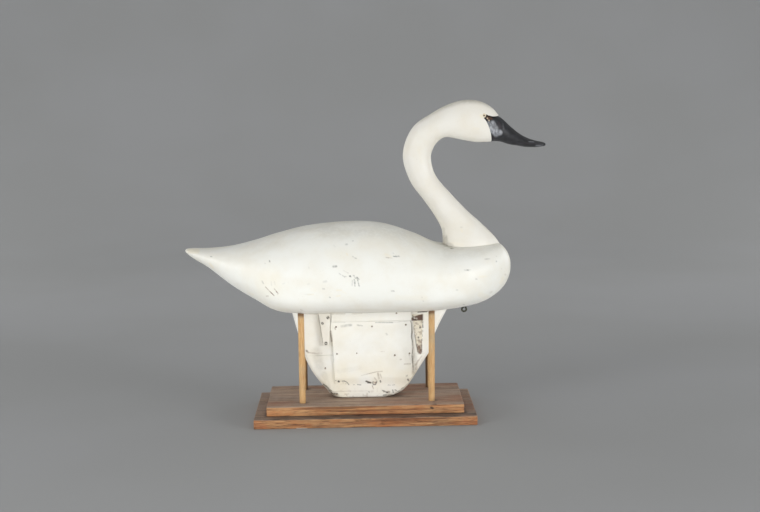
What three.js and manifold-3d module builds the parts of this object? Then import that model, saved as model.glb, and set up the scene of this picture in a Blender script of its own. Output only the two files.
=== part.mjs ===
// Carved swan decoy with a deep keel, held up by four dowels on a base of two boards.
// Millimetres, +Z up. The swan faces +X, and the side that a visitor sees faces -Y.
// The origin is the middle of the underside of the lower board.
import * as THREE from "three";
import { mergeVertices } from "three/addons/utils/BufferGeometryUtils.js";
import Module from "manifold-3d";

const wasm = await Module();
wasm.setup();

// Fit between two pieces that touch
const clearance = 0.3;

// Base: a lower and an upper board, with the edges of their tops eased
const lowerBoardLength = 450;
const lowerBoardWidth = 247;
const upperBoardLength = 401;
const upperBoardWidth = 195;
const boardThickness = 19;
const boardEasing = 1.5;

// Dowels under the body
const dowelDiameter = 12.7;
const dowelSpacingAlong = 264;
const dowelSpacingAcross = 124;
const dowelsForward = 4;
const dowelSocketDepth = 12;

// Keel: two thick boards, edge to edge, that taper towards their foot. Reaches are measured along X from
// the middle of the base, to the rear (tail) and to the front (breast).
const keelThickness = 50;
const keelDepth = 181;
const keelLowerBoardHeight = 90;
const keelTopRear = 148;
const keelTopFront = 174;
const keelSeamRear = 124;
const keelSeamFront = 133;
const keelFootRear = 68;
const keelFootFront = 75;
const keelRearBow = 5;
const keelFrontHollow = 4;
const keelFrontRounding = 38;
const keelRearRounding = 20;
const keelEasingDepth = 4;
const keelEasingWidth = 9;

// Nailed panel and top rail on each side of the keel
const panelThickness = 4;
const panelTopRear = 67;
const panelTopFront = 98;
const panelFootRear = 62;
const panelFootFront = 100;
const panelFootHeight = 29;
const panelMargin = 3;
const railHeight = 20;
const railThickness = 5;

// Tapered straps beside the panel. The one at the breast on the near side is lost, and its seat is bare.
const strapThickness = 7;
const tailStrapTopWidth = 26.5;
const tailStrapFootWidth = 12;
const tailStrapFootSetBack = 5;
const tailStrapLength = 69;
const breastStrapTopWidth = 24;
const breastStrapFootWidth = 8.5;
const breastStrapFootSetBack = 11;
const breastStrapLength = 88;
const lostStrapSeatDepth = 1.5;
const lostStrapNotchDepth = 5;
const lostStrapNotchHeight = 11;
const lostStrapNotchDrop = 9;

// Body
const bodyLength = 671;
const bodyDepth = 183;
const bodyWidth = 250;
const bodyRearReach = 365;

// Head and neck, carved as one with the bill
const neckHeight = 296;
const neckWidth = 50;
const neckSetBack = 82;
const neckSeatDrop = 51;
const eyeRadius = 4.6;
const eyeStandOut = 1.8;

// Screw eye for the anchor line, under the breast
const screwEyeAheadOfKeel = 35;
const screwEyeNeck = 3.5;
const screwEyeRadius = 5.2;
const screwEyeWire = 2.8;
const screwEyeThread = 14;

// Heights that follow from the sizes above
const baseTop = 2 * boardThickness + clearance;
const keelFoot = baseTop + clearance;
const keelSeam = keelFoot + keelLowerBoardHeight;
const bodyUnderside = keelFoot + keelDepth;
const neckSeat = bodyUnderside + bodyDepth - neckSeatDrop;

// Places that follow: the keel's faces from the middle plane, and the breast, neck and screw eye along X
const keelFace = keelThickness / 2;
const breast = bodyLength - bodyRearReach;
const neckForward = breast - neckSetBack;
const screwEyeForward = keelTopFront + screwEyeAheadOfKeel;

// Body ribs from the tail to the breast: [ridge along, ridge height, belly along, belly height, half width,
// height of the widest line, roundness above it, roundness below it]. Along is a share of bodyLength from
// the tail tip, height a share of bodyDepth from the underside, half width a share of bodyWidth / 2, and the
// widest line a share of the rib's own height. A roundness of 2 is an ellipse, and more is squarer.
const bodyRibs = [
  [0.0, 0.708, 0.0, 0.708, 0.0, 0.5, 2.0, 2.0], // tip of the tail
  [0.003, 0.725, 0.0045, 0.685, 0.11, 0.5, 2.0, 2.0],
  [0.022, 0.73, 0.027, 0.62, 0.235, 0.6, 2.1, 2.0],
  [0.07, 0.727, 0.076, 0.508, 0.39, 0.6, 2.2, 2.1],
  [0.142, 0.751, 0.145, 0.31, 0.58, 0.55, 2.2, 2.2],
  [0.213, 0.811, 0.215, 0.154, 0.745, 0.5, 2.2, 2.4],
  [0.285, 0.889, 0.279, 0.034, 0.865, 0.46, 2.2, 2.7],
  [0.38, 0.968, 0.358, 0.0, 0.95, 0.43, 2.2, 2.9],
  [0.499, 1.004, 0.477, 0.0, 1.0, 0.42, 2.2, 3.0], // top of the back
  [0.604, 0.978, 0.604, 0.0, 1.0, 0.42, 2.2, 3.0],
  [0.699, 0.865, 0.715, 0.003, 0.975, 0.44, 2.2, 2.9],
  [0.772, 0.748, 0.79, 0.013, 0.915, 0.48, 2.3, 2.7],
  [0.849, 0.729, 0.85, 0.032, 0.825, 0.5, 2.4, 2.5], // under the neck
  [0.917, 0.731, 0.906, 0.072, 0.67, 0.52, 2.4, 2.3],
  [0.963, 0.728, 0.95, 0.152, 0.47, 0.52, 2.3, 2.2],
  [0.987, 0.648, 0.981, 0.26, 0.29, 0.5, 2.1, 2.1],
  [0.998, 0.55, 0.996, 0.38, 0.135, 0.5, 2.0, 2.0],
  [1.0, 0.472, 1.0, 0.472, 0.0, 0.5, 2.0, 2.0], // front of the breast
];

// Neck and head ribs from the seat to the face: [outer along, outer height, inner along, inner height, half
// width, height of the widest line, roundness outside it, roundness inside it]. Outer is the nape and the
// crown, inner the throat and the chin. Along and height are shares of neckHeight from the middle of the
// seat, and half width is a share of neckWidth / 2.
const neckRibs = [
  [-0.199, -0.06, 0.236, -0.06, 1.66, 0.74, 2.1, 1.6], // hidden in the seat
  [-0.196, 0.045, 0.173, 0.045, 1.46, 0.68, 2.0, 1.7],
  [-0.205, 0.115, 0.066, 0.155, 1.22, 0.58, 2.0, 1.8],
  [-0.247, 0.2, -0.03, 0.243, 1.07, 0.5, 2.0, 1.9],
  [-0.326, 0.317, -0.141, 0.362, 1.0, 0.5, 2.0, 2.0],
  [-0.415, 0.443, -0.242, 0.487, 0.98, 0.5, 2.0, 2.0],
  [-0.466, 0.6, -0.273, 0.607, 0.98, 0.5, 2.0, 2.0],
  [-0.446, 0.729, -0.251, 0.684, 1.0, 0.5, 2.0, 2.0], // turn of the neck
  [-0.383, 0.835, -0.206, 0.734, 1.04, 0.5, 2.0, 2.0],
  [-0.278, 0.906, -0.166, 0.75, 1.1, 0.48, 2.0, 2.1],
  [-0.165, 0.967, -0.115, 0.743, 1.19, 0.47, 2.0, 2.2],
  [-0.05, 1.0, -0.043, 0.726, 1.26, 0.47, 2.0, 2.3], // crown
  [0.06, 0.994, 0.03, 0.713, 1.24, 0.48, 2.1, 2.3],
  [0.145, 0.953, 0.1, 0.711, 1.13, 0.5, 2.1, 2.3],
  [0.197, 0.895, 0.16, 0.715, 1.0, 0.5, 2.1, 2.2],
  [0.24, 0.837, 0.215, 0.716, 0.88, 0.5, 2.1, 2.2], // in front of the face, cut away
];

// Bill ribs, in the same shares, from inside the head to the tip
const billRibs = [
  [0.075, 0.945, 0.06, 0.735, 1.12, 0.45, 2.4, 2.3],
  [0.15, 0.915, 0.125, 0.717, 1.06, 0.45, 2.5, 2.3],
  [0.2, 0.885, 0.17, 0.716, 0.94, 0.43, 2.2, 2.3],
  [0.23, 0.863, 0.21, 0.712, 0.87, 0.42, 2.0, 2.4],
  [0.268, 0.826, 0.268, 0.693, 0.79, 0.4, 1.9, 2.4],
  [0.328, 0.775, 0.328, 0.682, 0.75, 0.42, 1.9, 2.4],
  [0.388, 0.738, 0.388, 0.672, 0.74, 0.45, 2.0, 2.3],
  [0.446, 0.717, 0.446, 0.67, 0.7, 0.48, 2.0, 2.2],
  [0.495, 0.706, 0.495, 0.674, 0.57, 0.5, 2.0, 2.0],
  [0.518, 0.697, 0.517, 0.68, 0.36, 0.5, 2.0, 2.0],
  [0.524, 0.688, 0.524, 0.688, 0.0, 0.5, 2.0, 2.0], // tip of the bill
];

// Edge of the white face against the bill, seen from the side: [along, height] in the same shares, from the
// point of the forehead, back to the eye and down past the chin
const faceEdge = [
  [0.197, 1.1],
  [0.197, 0.895],
  [0.178, 0.883],
  [0.152, 0.88],
  [0.125, 0.888],
  [0.1, 0.899],
  [0.089, 0.886],
  [0.103, 0.86],
  [0.121, 0.82],
  [0.135, 0.775],
  [0.142, 0.735],
  [0.143, 0.5],
];
const eyePlace = [0.089, 0.896];

// How finely the forms are cut: steps from one rib of a table to the next, sides of each rib, steps along a
// bowed edge, and sides of what is round
const ribSteps = 2;
const bodySides = 32;
const neckSides = 24;
const bowSteps = 6;
const roundSides = 16;

// A row between the given rows: each column runs on a smooth curve through its values.
function rowAt(rows, place) {
  const first = Math.min(Math.floor(place), rows.length - 2);
  const t = place - first;
  const row = (i) => rows[THREE.MathUtils.clamp(i, 0, rows.length - 1)];
  const [before, from, to, after] = [-1, 0, 1, 2].map((i) => row(first + i));
  return from.map((value, k) => {
    const leave = (to[k] - before[k]) / 2;
    const arrive = (after[k] - value) / 2;
    const rise = to[k] - value;
    const bend = 3 * rise - 2 * leave - arrive;
    const twist = leave + arrive - 2 * rise;
    return value + leave * t + bend * t ** 2 + twist * t ** 3;
  });
}

// A rib from a row of a table. `place` turns the table's shares into a point of the middle plane.
function ribFrom(row, place, width) {
  const [upperX, upperZ, lowerX, lowerZ, halfWidth, widest, roundAbove, roundBelow] = row;
  return {
    upper: place(upperX, upperZ),
    lower: place(lowerX, lowerZ),
    halfWidth: (halfWidth * width) / 2,
    widest,
    roundAbove,
    roundBelow,
  };
}

// A point of a rib, which is two half superellipses that meet on the widest line
function ribPoint(rib, angle) {
  const above = Math.sin(angle) >= 0;
  const roundness = above ? rib.roundAbove : rib.roundBelow;
  const bend = (value) => Math.sign(value) * Math.abs(value) ** (2 / roundness);
  const point = rib.lower.clone().lerp(rib.upper, rib.widest);
  point.lerp(above ? rib.upper : rib.lower, Math.abs(bend(Math.sin(angle))));
  return point.setY(rib.halfWidth * bend(Math.cos(angle)));
}

// A closed surface through rings with equal numbers of points, closed by a fan to a point at each end
function skin(rings, start, end) {
  const sides = rings[0].length;
  const points = [start, ...rings.flat(), end];
  const at = (ring, side) => 1 + ring * sides + (side % sides);
  const faces = [];
  for (let i = 0; i < sides; i++) {
    faces.push(0, at(0, i + 1), at(0, i));
    faces.push(points.length - 1, at(rings.length - 1, i), at(rings.length - 1, i + 1));
    for (let r = 0; r + 1 < rings.length; r++) {
      faces.push(at(r, i), at(r, i + 1), at(r + 1, i));
      faces.push(at(r, i + 1), at(r + 1, i + 1), at(r + 1, i));
    }
  }
  return new THREE.BufferGeometry().setFromPoints(points).setIndex(faces);
}

// A solid that can be joined and cut, from a closed geometry, with its faces turned outwards
function solid(geometry) {
  const bare = geometry.clone();
  bare.deleteAttribute("normal");
  bare.deleteAttribute("uv");
  const merged = mergeVertices(bare, 1e-4);
  const vertProperties = new Float32Array(merged.attributes.position.array);
  const triVerts = new Uint32Array(merged.index.array);
  const made = new wasm.Manifold(new wasm.Mesh({ numProp: 3, vertProperties, triVerts }));
  if (made.volume() > 0) return made;
  triVerts.reverse();
  return new wasm.Manifold(new wasm.Mesh({ numProp: 3, vertProperties, triVerts }));
}

// The solid through a table of ribs. A first or last rib with no width is a point.
function carved(rows, place, width, sides) {
  const count = (rows.length - 1) * ribSteps;
  const ribs = Array.from({ length: count + 1 }, (_, i) => ribFrom(rowAt(rows, i / ribSteps), place, width));
  const turns = Array.from({ length: sides }, (_, i) => (2 * Math.PI * i) / sides);
  const open = ribs.filter((rib) => rib.halfWidth > 0);
  const rings = open.map((rib) => turns.map((turn) => ribPoint(rib, turn)));
  const endOf = (rib) => rib.lower.clone().lerp(rib.upper, rib.widest);
  return solid(skin(rings, endOf(ribs[0]), endOf(ribs.at(-1))));
}

// The solid through flat rings, each of them seen whole from its middle
function throughRings(rings) {
  const sumOf = (ring) => ring.reduce((sum, point) => sum.add(point), new THREE.Vector3());
  const middleOf = (ring) => sumOf(ring).divideScalar(ring.length);
  return solid(skin(rings, middleOf(rings[0]), middleOf(rings.at(-1))));
}

// A plate with an outline in X and Z, from one place across the object to another
function plate(outline, fromY, toY) {
  const shape = new THREE.Shape(outline.map(([x, z]) => new THREE.Vector2(x, z)));
  const depth = Math.abs(toY - fromY);
  const extruded = new THREE.ExtrudeGeometry(shape, { depth, bevelEnabled: false });
  return solid(extruded.rotateX(Math.PI / 2).translate(0, Math.max(fromY, toY), 0));
}

// A round rod that stands upright
function upright(radius, x, y, fromZ, toZ) {
  const rod = new THREE.CylinderGeometry(radius, radius, toZ - fromZ, roundSides);
  return solid(rod.rotateX(Math.PI / 2).translate(x, y, (fromZ + toZ) / 2));
}

function geometryOf(made) {
  const mesh = made.getMesh();
  return new THREE.BufferGeometry()
    .setAttribute("position", new THREE.BufferAttribute(mesh.vertProperties, 3))
    .setIndex(new THREE.BufferAttribute(mesh.triVerts, 1));
}

const part = new THREE.Group();
function add(name, made, color, roughness, metalness = 0) {
  const material = new THREE.MeshStandardMaterial({ color, roughness, metalness });
  const mesh = new THREE.Mesh(geometryOf(made), material);
  mesh.name = name;
  part.add(mesh);
}
const whitePaint = 0xe9e6dc;
const creamPaint = 0xded6c3;
const stainedWood = 0x8c5a3c;
const paleWood = 0xb58a5e;
const paleGlass = 0xc9b68c;
const greyIron = 0x6f6d69;

// The two sides of the object, as directions along Y
const sides = { near: -1, far: 1 };

// Body
function bodyPlace(along, height) {
  return new THREE.Vector3(along * bodyLength - bodyRearReach, 0, bodyUnderside + height * bodyDepth);
}

function bodyCarving(lift = 0) {
  return carved(bodyRibs, bodyPlace, bodyWidth, bodySides).translate([0, 0, lift]);
}

// Height of the underside on the body's middle line, at a place along it
function undersideAt(x) {
  const share = (x + bodyRearReach) / bodyLength;
  const next = bodyRibs.findIndex(([, , along]) => along >= share);
  const [[, , fromAlong, fromHeight], [, , toAlong, toHeight]] = [bodyRibs[next - 1], bodyRibs[next]];
  const t = (share - fromAlong) / (toAlong - fromAlong);
  return bodyPlace(0, THREE.MathUtils.lerp(fromHeight, toHeight, t)).z;
}

const wireRadius = screwEyeWire / 2;
const screwEyeSeat = undersideAt(screwEyeForward);
const threadTop = screwEyeSeat + screwEyeThread;
const ringTop = screwEyeSeat - screwEyeNeck;
const threadHole = upright(wireRadius + clearance, screwEyeForward, 0, ringTop, threadTop + clearance);
add("body", bodyCarving().subtract(threadHole), whitePaint, 0.55);

// Screw eye: a ring in the plane of the keel, and its shank up into the body
const ringMiddle = ringTop - wireRadius - screwEyeRadius;
const ring = new THREE.TorusGeometry(screwEyeRadius, wireRadius, 8, roundSides).rotateX(Math.PI / 2);
const shank = upright(wireRadius, screwEyeForward, 0, ringMiddle + screwEyeRadius, threadTop);
add("screw_eye", solid(ring.translate(screwEyeForward, 0, ringMiddle)).add(shank), greyIron, 0.45, 0.9);

// Head, neck and bill: the white of the face ends on a carved step, and the slimmer bill comes out of it.
function neckPlace(along, height) {
  return new THREE.Vector3(neckForward + along * neckHeight, 0, neckSeat + height * neckHeight);
}

function headCarving() {
  const neck = carved(neckRibs, neckPlace, neckWidth, neckSides);
  const bill = carved(billRibs, neckPlace, neckWidth, neckSides);
  const clearOfHead = [[0.5, faceEdge.at(-1)[1]], [0.5, faceEdge[0][1]]];
  const inFrontOfFace = [...faceEdge, ...clearOfHead];
  const outline = inFrontOfFace.map(([along, height]) => neckPlace(along, height)).map(({ x, z }) => [x, z]);
  const cut = plate(outline, -neckWidth, neckWidth);
  return neck.subtract(cut).add(bill).subtract(bodyCarving(clearance));
}

// Small domed eyes, each in a round socket in the side of the head
const head = headCarving();
const headSurface = new THREE.Mesh(geometryOf(head));
function eyeball(side, radius) {
  const beside = neckPlace(...eyePlace).setY(side * neckWidth);
  const across = new THREE.Vector3(0, -side, 0);
  const [hit] = new THREE.Raycaster(beside, across).intersectObject(headSurface);
  const { x, y, z } = hit.point;
  const ball = new THREE.SphereGeometry(radius, roundSides, roundSides / 2);
  return solid(ball.translate(x, y - side * (eyeRadius - eyeStandOut), z));
}

let socketed = head;
for (const [name, side] of Object.entries(sides)) {
  socketed = socketed.subtract(eyeball(side, eyeRadius + clearance));
  add(`eye_${name}`, eyeball(side, eyeRadius), paleGlass, 0.2);
}
add("head_and_neck", socketed, whitePaint, 0.55);

// What stands under the body is drawn this far past its underside, and then cut to it.
const pastUnderside = 25;
const bodyWithGap = bodyCarving(-clearance);
function underBody(made) {
  return made.subtract(bodyWithGap);
}

// A line from one point to another, bowed out to its left, as points without its end
function bowed(from, to, bow) {
  const [start, end] = [new THREE.Vector2(...from), new THREE.Vector2(...to)];
  const along = end.clone().sub(start).normalize();
  const pull = new THREE.Vector2(-along.y, along.x).multiplyScalar(2 * bow);
  const middle = start.clone().lerp(end, 0.5).add(pull);
  const points = new THREE.QuadraticBezierCurve(start, middle, end).getPoints(bowSteps);
  return points.slice(0, -1).map(({ x, y }) => [x, y]);
}

// A corner rounded off from a distance before it to the same distance after it, as points
function rounded(before, corner, after, reach) {
  const middle = new THREE.Vector2(...corner);
  const awayTo = (end) => new THREE.Vector2(...end).sub(middle).setLength(reach).add(middle);
  const points = new THREE.QuadraticBezierCurve(awayTo(before), middle, awayTo(after)).getPoints(bowSteps);
  return points.map(({ x, y }) => [x, y]);
}

// Outline of both keel boards, with the ends and the foot drawn in by a margin
function keelOutline(margin = 0) {
  const top = bodyUnderside + pastUnderside;
  const foot = keelFoot + margin;
  const [topRear, topFront] = [margin / 2 - keelTopRear, keelTopFront - margin / 2];
  const [seamRear, seamFront] = [margin - keelSeamRear, keelSeamFront - margin];
  const [footRear, footFront] = [margin - keelFootRear, keelFootFront - margin];
  const front = rounded([seamFront, keelSeam], [footFront, foot], [footRear, foot], keelFrontRounding);
  const rear = rounded([footFront, foot], [footRear, foot], [seamRear, keelSeam], keelRearRounding);
  return [
    [topFront, top],
    ...bowed([topFront, bodyUnderside], [seamFront, keelSeam], -keelFrontHollow),
    [seamFront, keelSeam],
    ...front,
    ...rear.slice(0, -1),
    ...bowed(rear.at(-1), [seamRear, keelSeam], keelRearBow),
    [seamRear, keelSeam],
    [topRear, bodyUnderside],
    [topRear, top],
  ];
}

function keelBoards() {
  const ringAt = (y, margin) => keelOutline(margin).map(([x, z]) => new THREE.Vector3(x, y, z));
  const eased = keelFace - keelEasingDepth;
  return throughRings([
    ringAt(-keelFace, keelEasingWidth),
    ringAt(-eased, 0),
    ringAt(eased, 0),
    ringAt(keelFace, keelEasingWidth),
  ]);
}

// A block as long and wide as the keel, to part its boards with
function acrossKeel(fromZ, toZ) {
  const block = new THREE.BoxGeometry(4 * keelTopFront, 2 * keelThickness, toZ - fromZ);
  return solid(block.translate(0, 0, (fromZ + toZ) / 2));
}

// A strap that tapers from its top to its foot: towards the tail (-1) or the breast (1) from the rail's end
const tailStrap = {
  way: -1,
  inner: -panelTopRear - clearance,
  topWidth: tailStrapTopWidth,
  footWidth: tailStrapFootWidth,
  setBack: tailStrapFootSetBack,
  length: tailStrapLength,
};
const breastStrap = {
  way: 1,
  inner: panelTopFront + clearance,
  topWidth: breastStrapTopWidth,
  footWidth: breastStrapFootWidth,
  setBack: breastStrapFootSetBack,
  length: breastStrapLength,
};

function strapOutline({ way, inner, topWidth, footWidth, setBack, length }) {
  const top = bodyUnderside + pastUnderside;
  const foot = bodyUnderside - length;
  return [
    [inner, top],
    [inner, bodyUnderside],
    [inner + way * setBack, foot],
    [inner + way * (setBack + footWidth), foot],
    [inner + way * topWidth, bodyUnderside],
    [inner + way * topWidth, top],
  ];
}

// Seat of the lost strap, on the near face, with a deeper notch near its top
const notchTop = bodyUnderside - lostStrapNotchDrop;
const notchOutline = [
  [breastStrap.inner, notchTop],
  [breastStrap.inner + breastStrapTopWidth, notchTop],
  [breastStrap.inner + breastStrapTopWidth, notchTop - lostStrapNotchHeight],
  [breastStrap.inner, notchTop - lostStrapNotchHeight],
];
const seat = plate(strapOutline(breastStrap), -keelThickness, -keelFace + lostStrapSeatDepth);
const notch = plate(notchOutline, -keelThickness, -keelFace + lostStrapNotchDepth);

const keel = underBody(keelBoards()).subtract(seat).subtract(notch);
add("keel_upper_board", keel.subtract(acrossKeel(0, keelSeam + clearance)), whitePaint, 0.6);
add("keel_lower_board", keel.subtract(acrossKeel(keelSeam, 2 * bodyUnderside)), whitePaint, 0.6);

// Panel, rail and straps on both faces of the keel
const panelTop = bodyUnderside - railHeight - clearance;
const panelFoot = keelFoot + panelFootHeight;
const panelOutline = [
  [-panelFootRear, panelFoot],
  [panelFootFront, panelFoot],
  [panelTopFront, panelTop],
  [-panelTopRear, panelTop],
];
const railOutline = [
  [-panelTopRear, bodyUnderside - railHeight],
  [panelTopFront, bodyUnderside - railHeight],
  [panelTopFront, bodyUnderside + pastUnderside],
  [-panelTopRear, bodyUnderside + pastUnderside],
];
const withinKeel = plate(keelOutline(panelMargin), -keelThickness, keelThickness);

function onKeel(side, outline, thickness) {
  const inner = side * (keelFace + clearance);
  return plate(outline, inner, inner + side * thickness);
}

for (const [name, side] of Object.entries(sides)) {
  const panel = onKeel(side, panelOutline, panelThickness).intersect(withinKeel);
  const rail = underBody(onKeel(side, railOutline, railThickness));
  const strap = underBody(onKeel(side, strapOutline(tailStrap), strapThickness));
  add(`panel_${name}`, panel, whitePaint, 0.6);
  add(`rail_${name}`, rail, creamPaint, 0.6);
  add(`strap_${name}_tail`, strap, creamPaint, 0.6);
}
const farBreastStrap = onKeel(sides.far, strapOutline(breastStrap), strapThickness);
add("strap_far_breast", underBody(farBreastStrap), creamPaint, 0.6);

// Base boards
function flatBoard(length, width, underside) {
  const top = underside + boardThickness;
  const ringAt = (z, easing) => {
    const [x, y] = [length / 2 - easing, width / 2 - easing];
    return [[-x, -y], [x, -y], [x, y], [-x, y]].map((corner) => new THREE.Vector3(...corner, z));
  };
  return throughRings([ringAt(underside, 0), ringAt(top - boardEasing, 0), ringAt(top, boardEasing)]);
}

// Dowels, each from a socket in the upper board up to the underside of the body
const dowels = {};
for (const [name, side] of Object.entries(sides)) {
  const y = (side * dowelSpacingAcross) / 2;
  dowels[`dowel_${name}_tail`] = [dowelsForward - dowelSpacingAlong / 2, y];
  dowels[`dowel_${name}_breast`] = [dowelsForward + dowelSpacingAlong / 2, y];
}
const socketFoot = baseTop - dowelSocketDepth;
const dowelTop = bodyUnderside + pastUnderside;
const dowelRadius = dowelDiameter / 2;
let upperBase = flatBoard(upperBoardLength, upperBoardWidth, boardThickness + clearance);
for (const [name, [x, y]] of Object.entries(dowels)) {
  upperBase = upperBase.subtract(upright(dowelRadius + clearance, x, y, socketFoot, dowelTop));
  add(name, underBody(upright(dowelRadius, x, y, socketFoot + clearance, dowelTop)), paleWood, 0.7);
}
add("stand_upper_board", upperBase, stainedWood, 0.6);
add("stand_lower_board", flatBoard(lowerBoardLength, lowerBoardWidth, 0), stainedWood, 0.6);

export default part;
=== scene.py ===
"""Looks of a carved swan decoy with a deep keel, on four dowels and a base of two boards.

Shapes are worked out in millimetres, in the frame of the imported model, and put into meshes in metres.
"""

import math

import bpy
import numpy as np
from mathutils import Matrix, Vector


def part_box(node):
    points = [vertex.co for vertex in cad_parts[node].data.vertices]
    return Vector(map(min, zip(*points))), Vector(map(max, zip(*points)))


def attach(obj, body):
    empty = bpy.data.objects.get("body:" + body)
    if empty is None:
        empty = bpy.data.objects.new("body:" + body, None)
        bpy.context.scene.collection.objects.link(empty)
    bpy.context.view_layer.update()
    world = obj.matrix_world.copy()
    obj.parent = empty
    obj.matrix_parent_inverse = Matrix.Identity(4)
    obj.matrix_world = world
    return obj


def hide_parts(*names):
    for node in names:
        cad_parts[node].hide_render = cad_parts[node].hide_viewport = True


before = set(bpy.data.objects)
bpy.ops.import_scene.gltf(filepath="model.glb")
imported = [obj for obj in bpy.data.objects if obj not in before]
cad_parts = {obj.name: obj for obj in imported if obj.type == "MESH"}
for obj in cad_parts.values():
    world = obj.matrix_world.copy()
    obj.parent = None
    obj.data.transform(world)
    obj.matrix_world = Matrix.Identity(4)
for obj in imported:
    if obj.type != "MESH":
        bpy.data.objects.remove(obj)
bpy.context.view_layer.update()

# Gap between pieces that touch, in millimetres
clearance = 0.3

# Base boards and dowels. The near dowel at the breast leans forward
board_thickness = 19
lower_base_length, lower_base_width = 450, 247
upper_base_length, upper_base_width = 401, 195
dowel_diameter = 12.7
dowel_depth = 12
dowel_rear, dowel_front, dowel_side = -128, 136, 62
near_breast_lean = 2.0

# Keel
keel_face = 25
keel_foot = 38.6
keel_seam = 128.6
body_underside = 219.6
keel_top_rear, keel_top_front = -148, 174
keel_seam_rear, keel_seam_front = -124, 133
keel_rear_bow, keel_front_hollow = 5.9, 4.4
# Rounded corners of the keel's foot: start on the foot, corner, end on the edge, and the end's height
keel_round_rear = (-48, -68, -78.6, 55.6)
keel_round_front = (37, 75, 95.6, 70.5)
panel_thickness = 4
panel_top = 199.3
panel_foot = 67.6
# Rear edge of the panels and front edge of the far one, each along at the foot and at the top, and how far
# their front edges keep inside the keel's outline
panel_rear_ends, far_panel_front_ends = (-62, -67), (100, 98)
panel_inset = 4.5
rail_foot = 199.6
rail_rear, rail_front = -67, 98
rail_thickness = 5
strap_thickness = 7
tail_strap_length, breast_strap_length = 69, 88
# Rear and front edge of a strap, each along at the top and at the foot
tail_strap_edges = ((-93.8, -84.3), (-67.3, -72.3))
breast_strap_edges = ((98.3, 109.3), (122.3, 117.8))

# Body and neck
body_length, body_depth, body_width = 671, 183, 250
body_rear = -365
neck_forward, neck_seat = 224, 351.6
neck_height, neck_width = 296, 50

# Body ribs from the tail to the breast: [ridge along, ridge height, belly along, belly height, half width,
# height of the widest line, roundness above it, roundness below it], in shares of the body's sizes
body_ribs = [
    [0.0, 0.708, 0.0, 0.708, 0.0, 0.5, 2.0, 2.0],  # tip of the tail
    [0.003, 0.725, 0.0045, 0.685, 0.11, 0.5, 2.0, 2.0],
    [0.022, 0.73, 0.027, 0.62, 0.235, 0.6, 2.1, 2.0],
    [0.07, 0.727, 0.076, 0.508, 0.39, 0.6, 2.2, 2.1],
    [0.142, 0.751, 0.145, 0.31, 0.58, 0.55, 2.2, 2.2],
    [0.213, 0.811, 0.215, 0.154, 0.745, 0.5, 2.2, 2.4],
    [0.285, 0.889, 0.279, 0.034, 0.865, 0.46, 2.2, 2.7],
    [0.38, 0.968, 0.358, 0.0, 0.95, 0.43, 2.2, 2.9],
    [0.499, 1.004, 0.477, 0.0, 1.0, 0.42, 2.2, 3.0],  # top of the back
    [0.604, 0.978, 0.604, 0.0, 1.0, 0.42, 2.2, 3.0],
    [0.699, 0.865, 0.715, 0.003, 0.975, 0.44, 2.2, 2.9],
    [0.772, 0.748, 0.79, 0.013, 0.915, 0.48, 2.3, 2.7],
    [0.849, 0.729, 0.85, 0.032, 0.825, 0.5, 2.4, 2.5],  # under the neck
    [0.917, 0.731, 0.906, 0.072, 0.67, 0.52, 2.4, 2.3],
    [0.963, 0.728, 0.95, 0.152, 0.47, 0.52, 2.3, 2.2],
    [0.987, 0.648, 0.981, 0.26, 0.29, 0.5, 2.1, 2.1],
    [0.998, 0.55, 0.996, 0.38, 0.135, 0.5, 2.0, 2.0],
    [1.0, 0.472, 1.0, 0.472, 0.0, 0.5, 2.0, 2.0],  # front of the breast
]

# Neck and head ribs from the seat to the face, in shares of the neck's sizes: nape and crown first, then
# throat and chin, then the same four columns as above
neck_ribs = [
    [-0.199, -0.06, 0.236, -0.06, 1.66, 0.74, 2.1, 1.6],
    [-0.196, 0.045, 0.173, 0.045, 1.46, 0.68, 2.0, 1.7],
    [-0.205, 0.115, 0.066, 0.155, 1.22, 0.58, 2.0, 1.8],
    [-0.247, 0.2, -0.03, 0.243, 1.07, 0.5, 2.0, 1.9],
    [-0.326, 0.317, -0.141, 0.362, 1.0, 0.5, 2.0, 2.0],
    [-0.415, 0.443, -0.242, 0.487, 0.98, 0.5, 2.0, 2.0],
    [-0.466, 0.6, -0.273, 0.607, 0.98, 0.5, 2.0, 2.0],
    [-0.446, 0.729, -0.251, 0.684, 1.0, 0.5, 2.0, 2.0],  # turn of the neck
    [-0.383, 0.835, -0.206, 0.734, 1.04, 0.5, 2.0, 2.0],
    [-0.278, 0.906, -0.166, 0.75, 1.1, 0.48, 2.0, 2.1],
    [-0.165, 0.967, -0.115, 0.743, 1.19, 0.47, 2.0, 2.2],
    [-0.05, 1.0, -0.043, 0.726, 1.26, 0.47, 2.0, 2.3],  # crown
    [0.06, 0.994, 0.03, 0.713, 1.24, 0.48, 2.1, 2.3],
    [0.145, 0.953, 0.1, 0.711, 1.13, 0.5, 2.1, 2.3],
    [0.197, 0.895, 0.16, 0.715, 1.0, 0.5, 2.1, 2.2],  # point of the forehead
    [0.24, 0.837, 0.215, 0.716, 0.88, 0.5, 2.1, 2.2],
]
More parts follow.
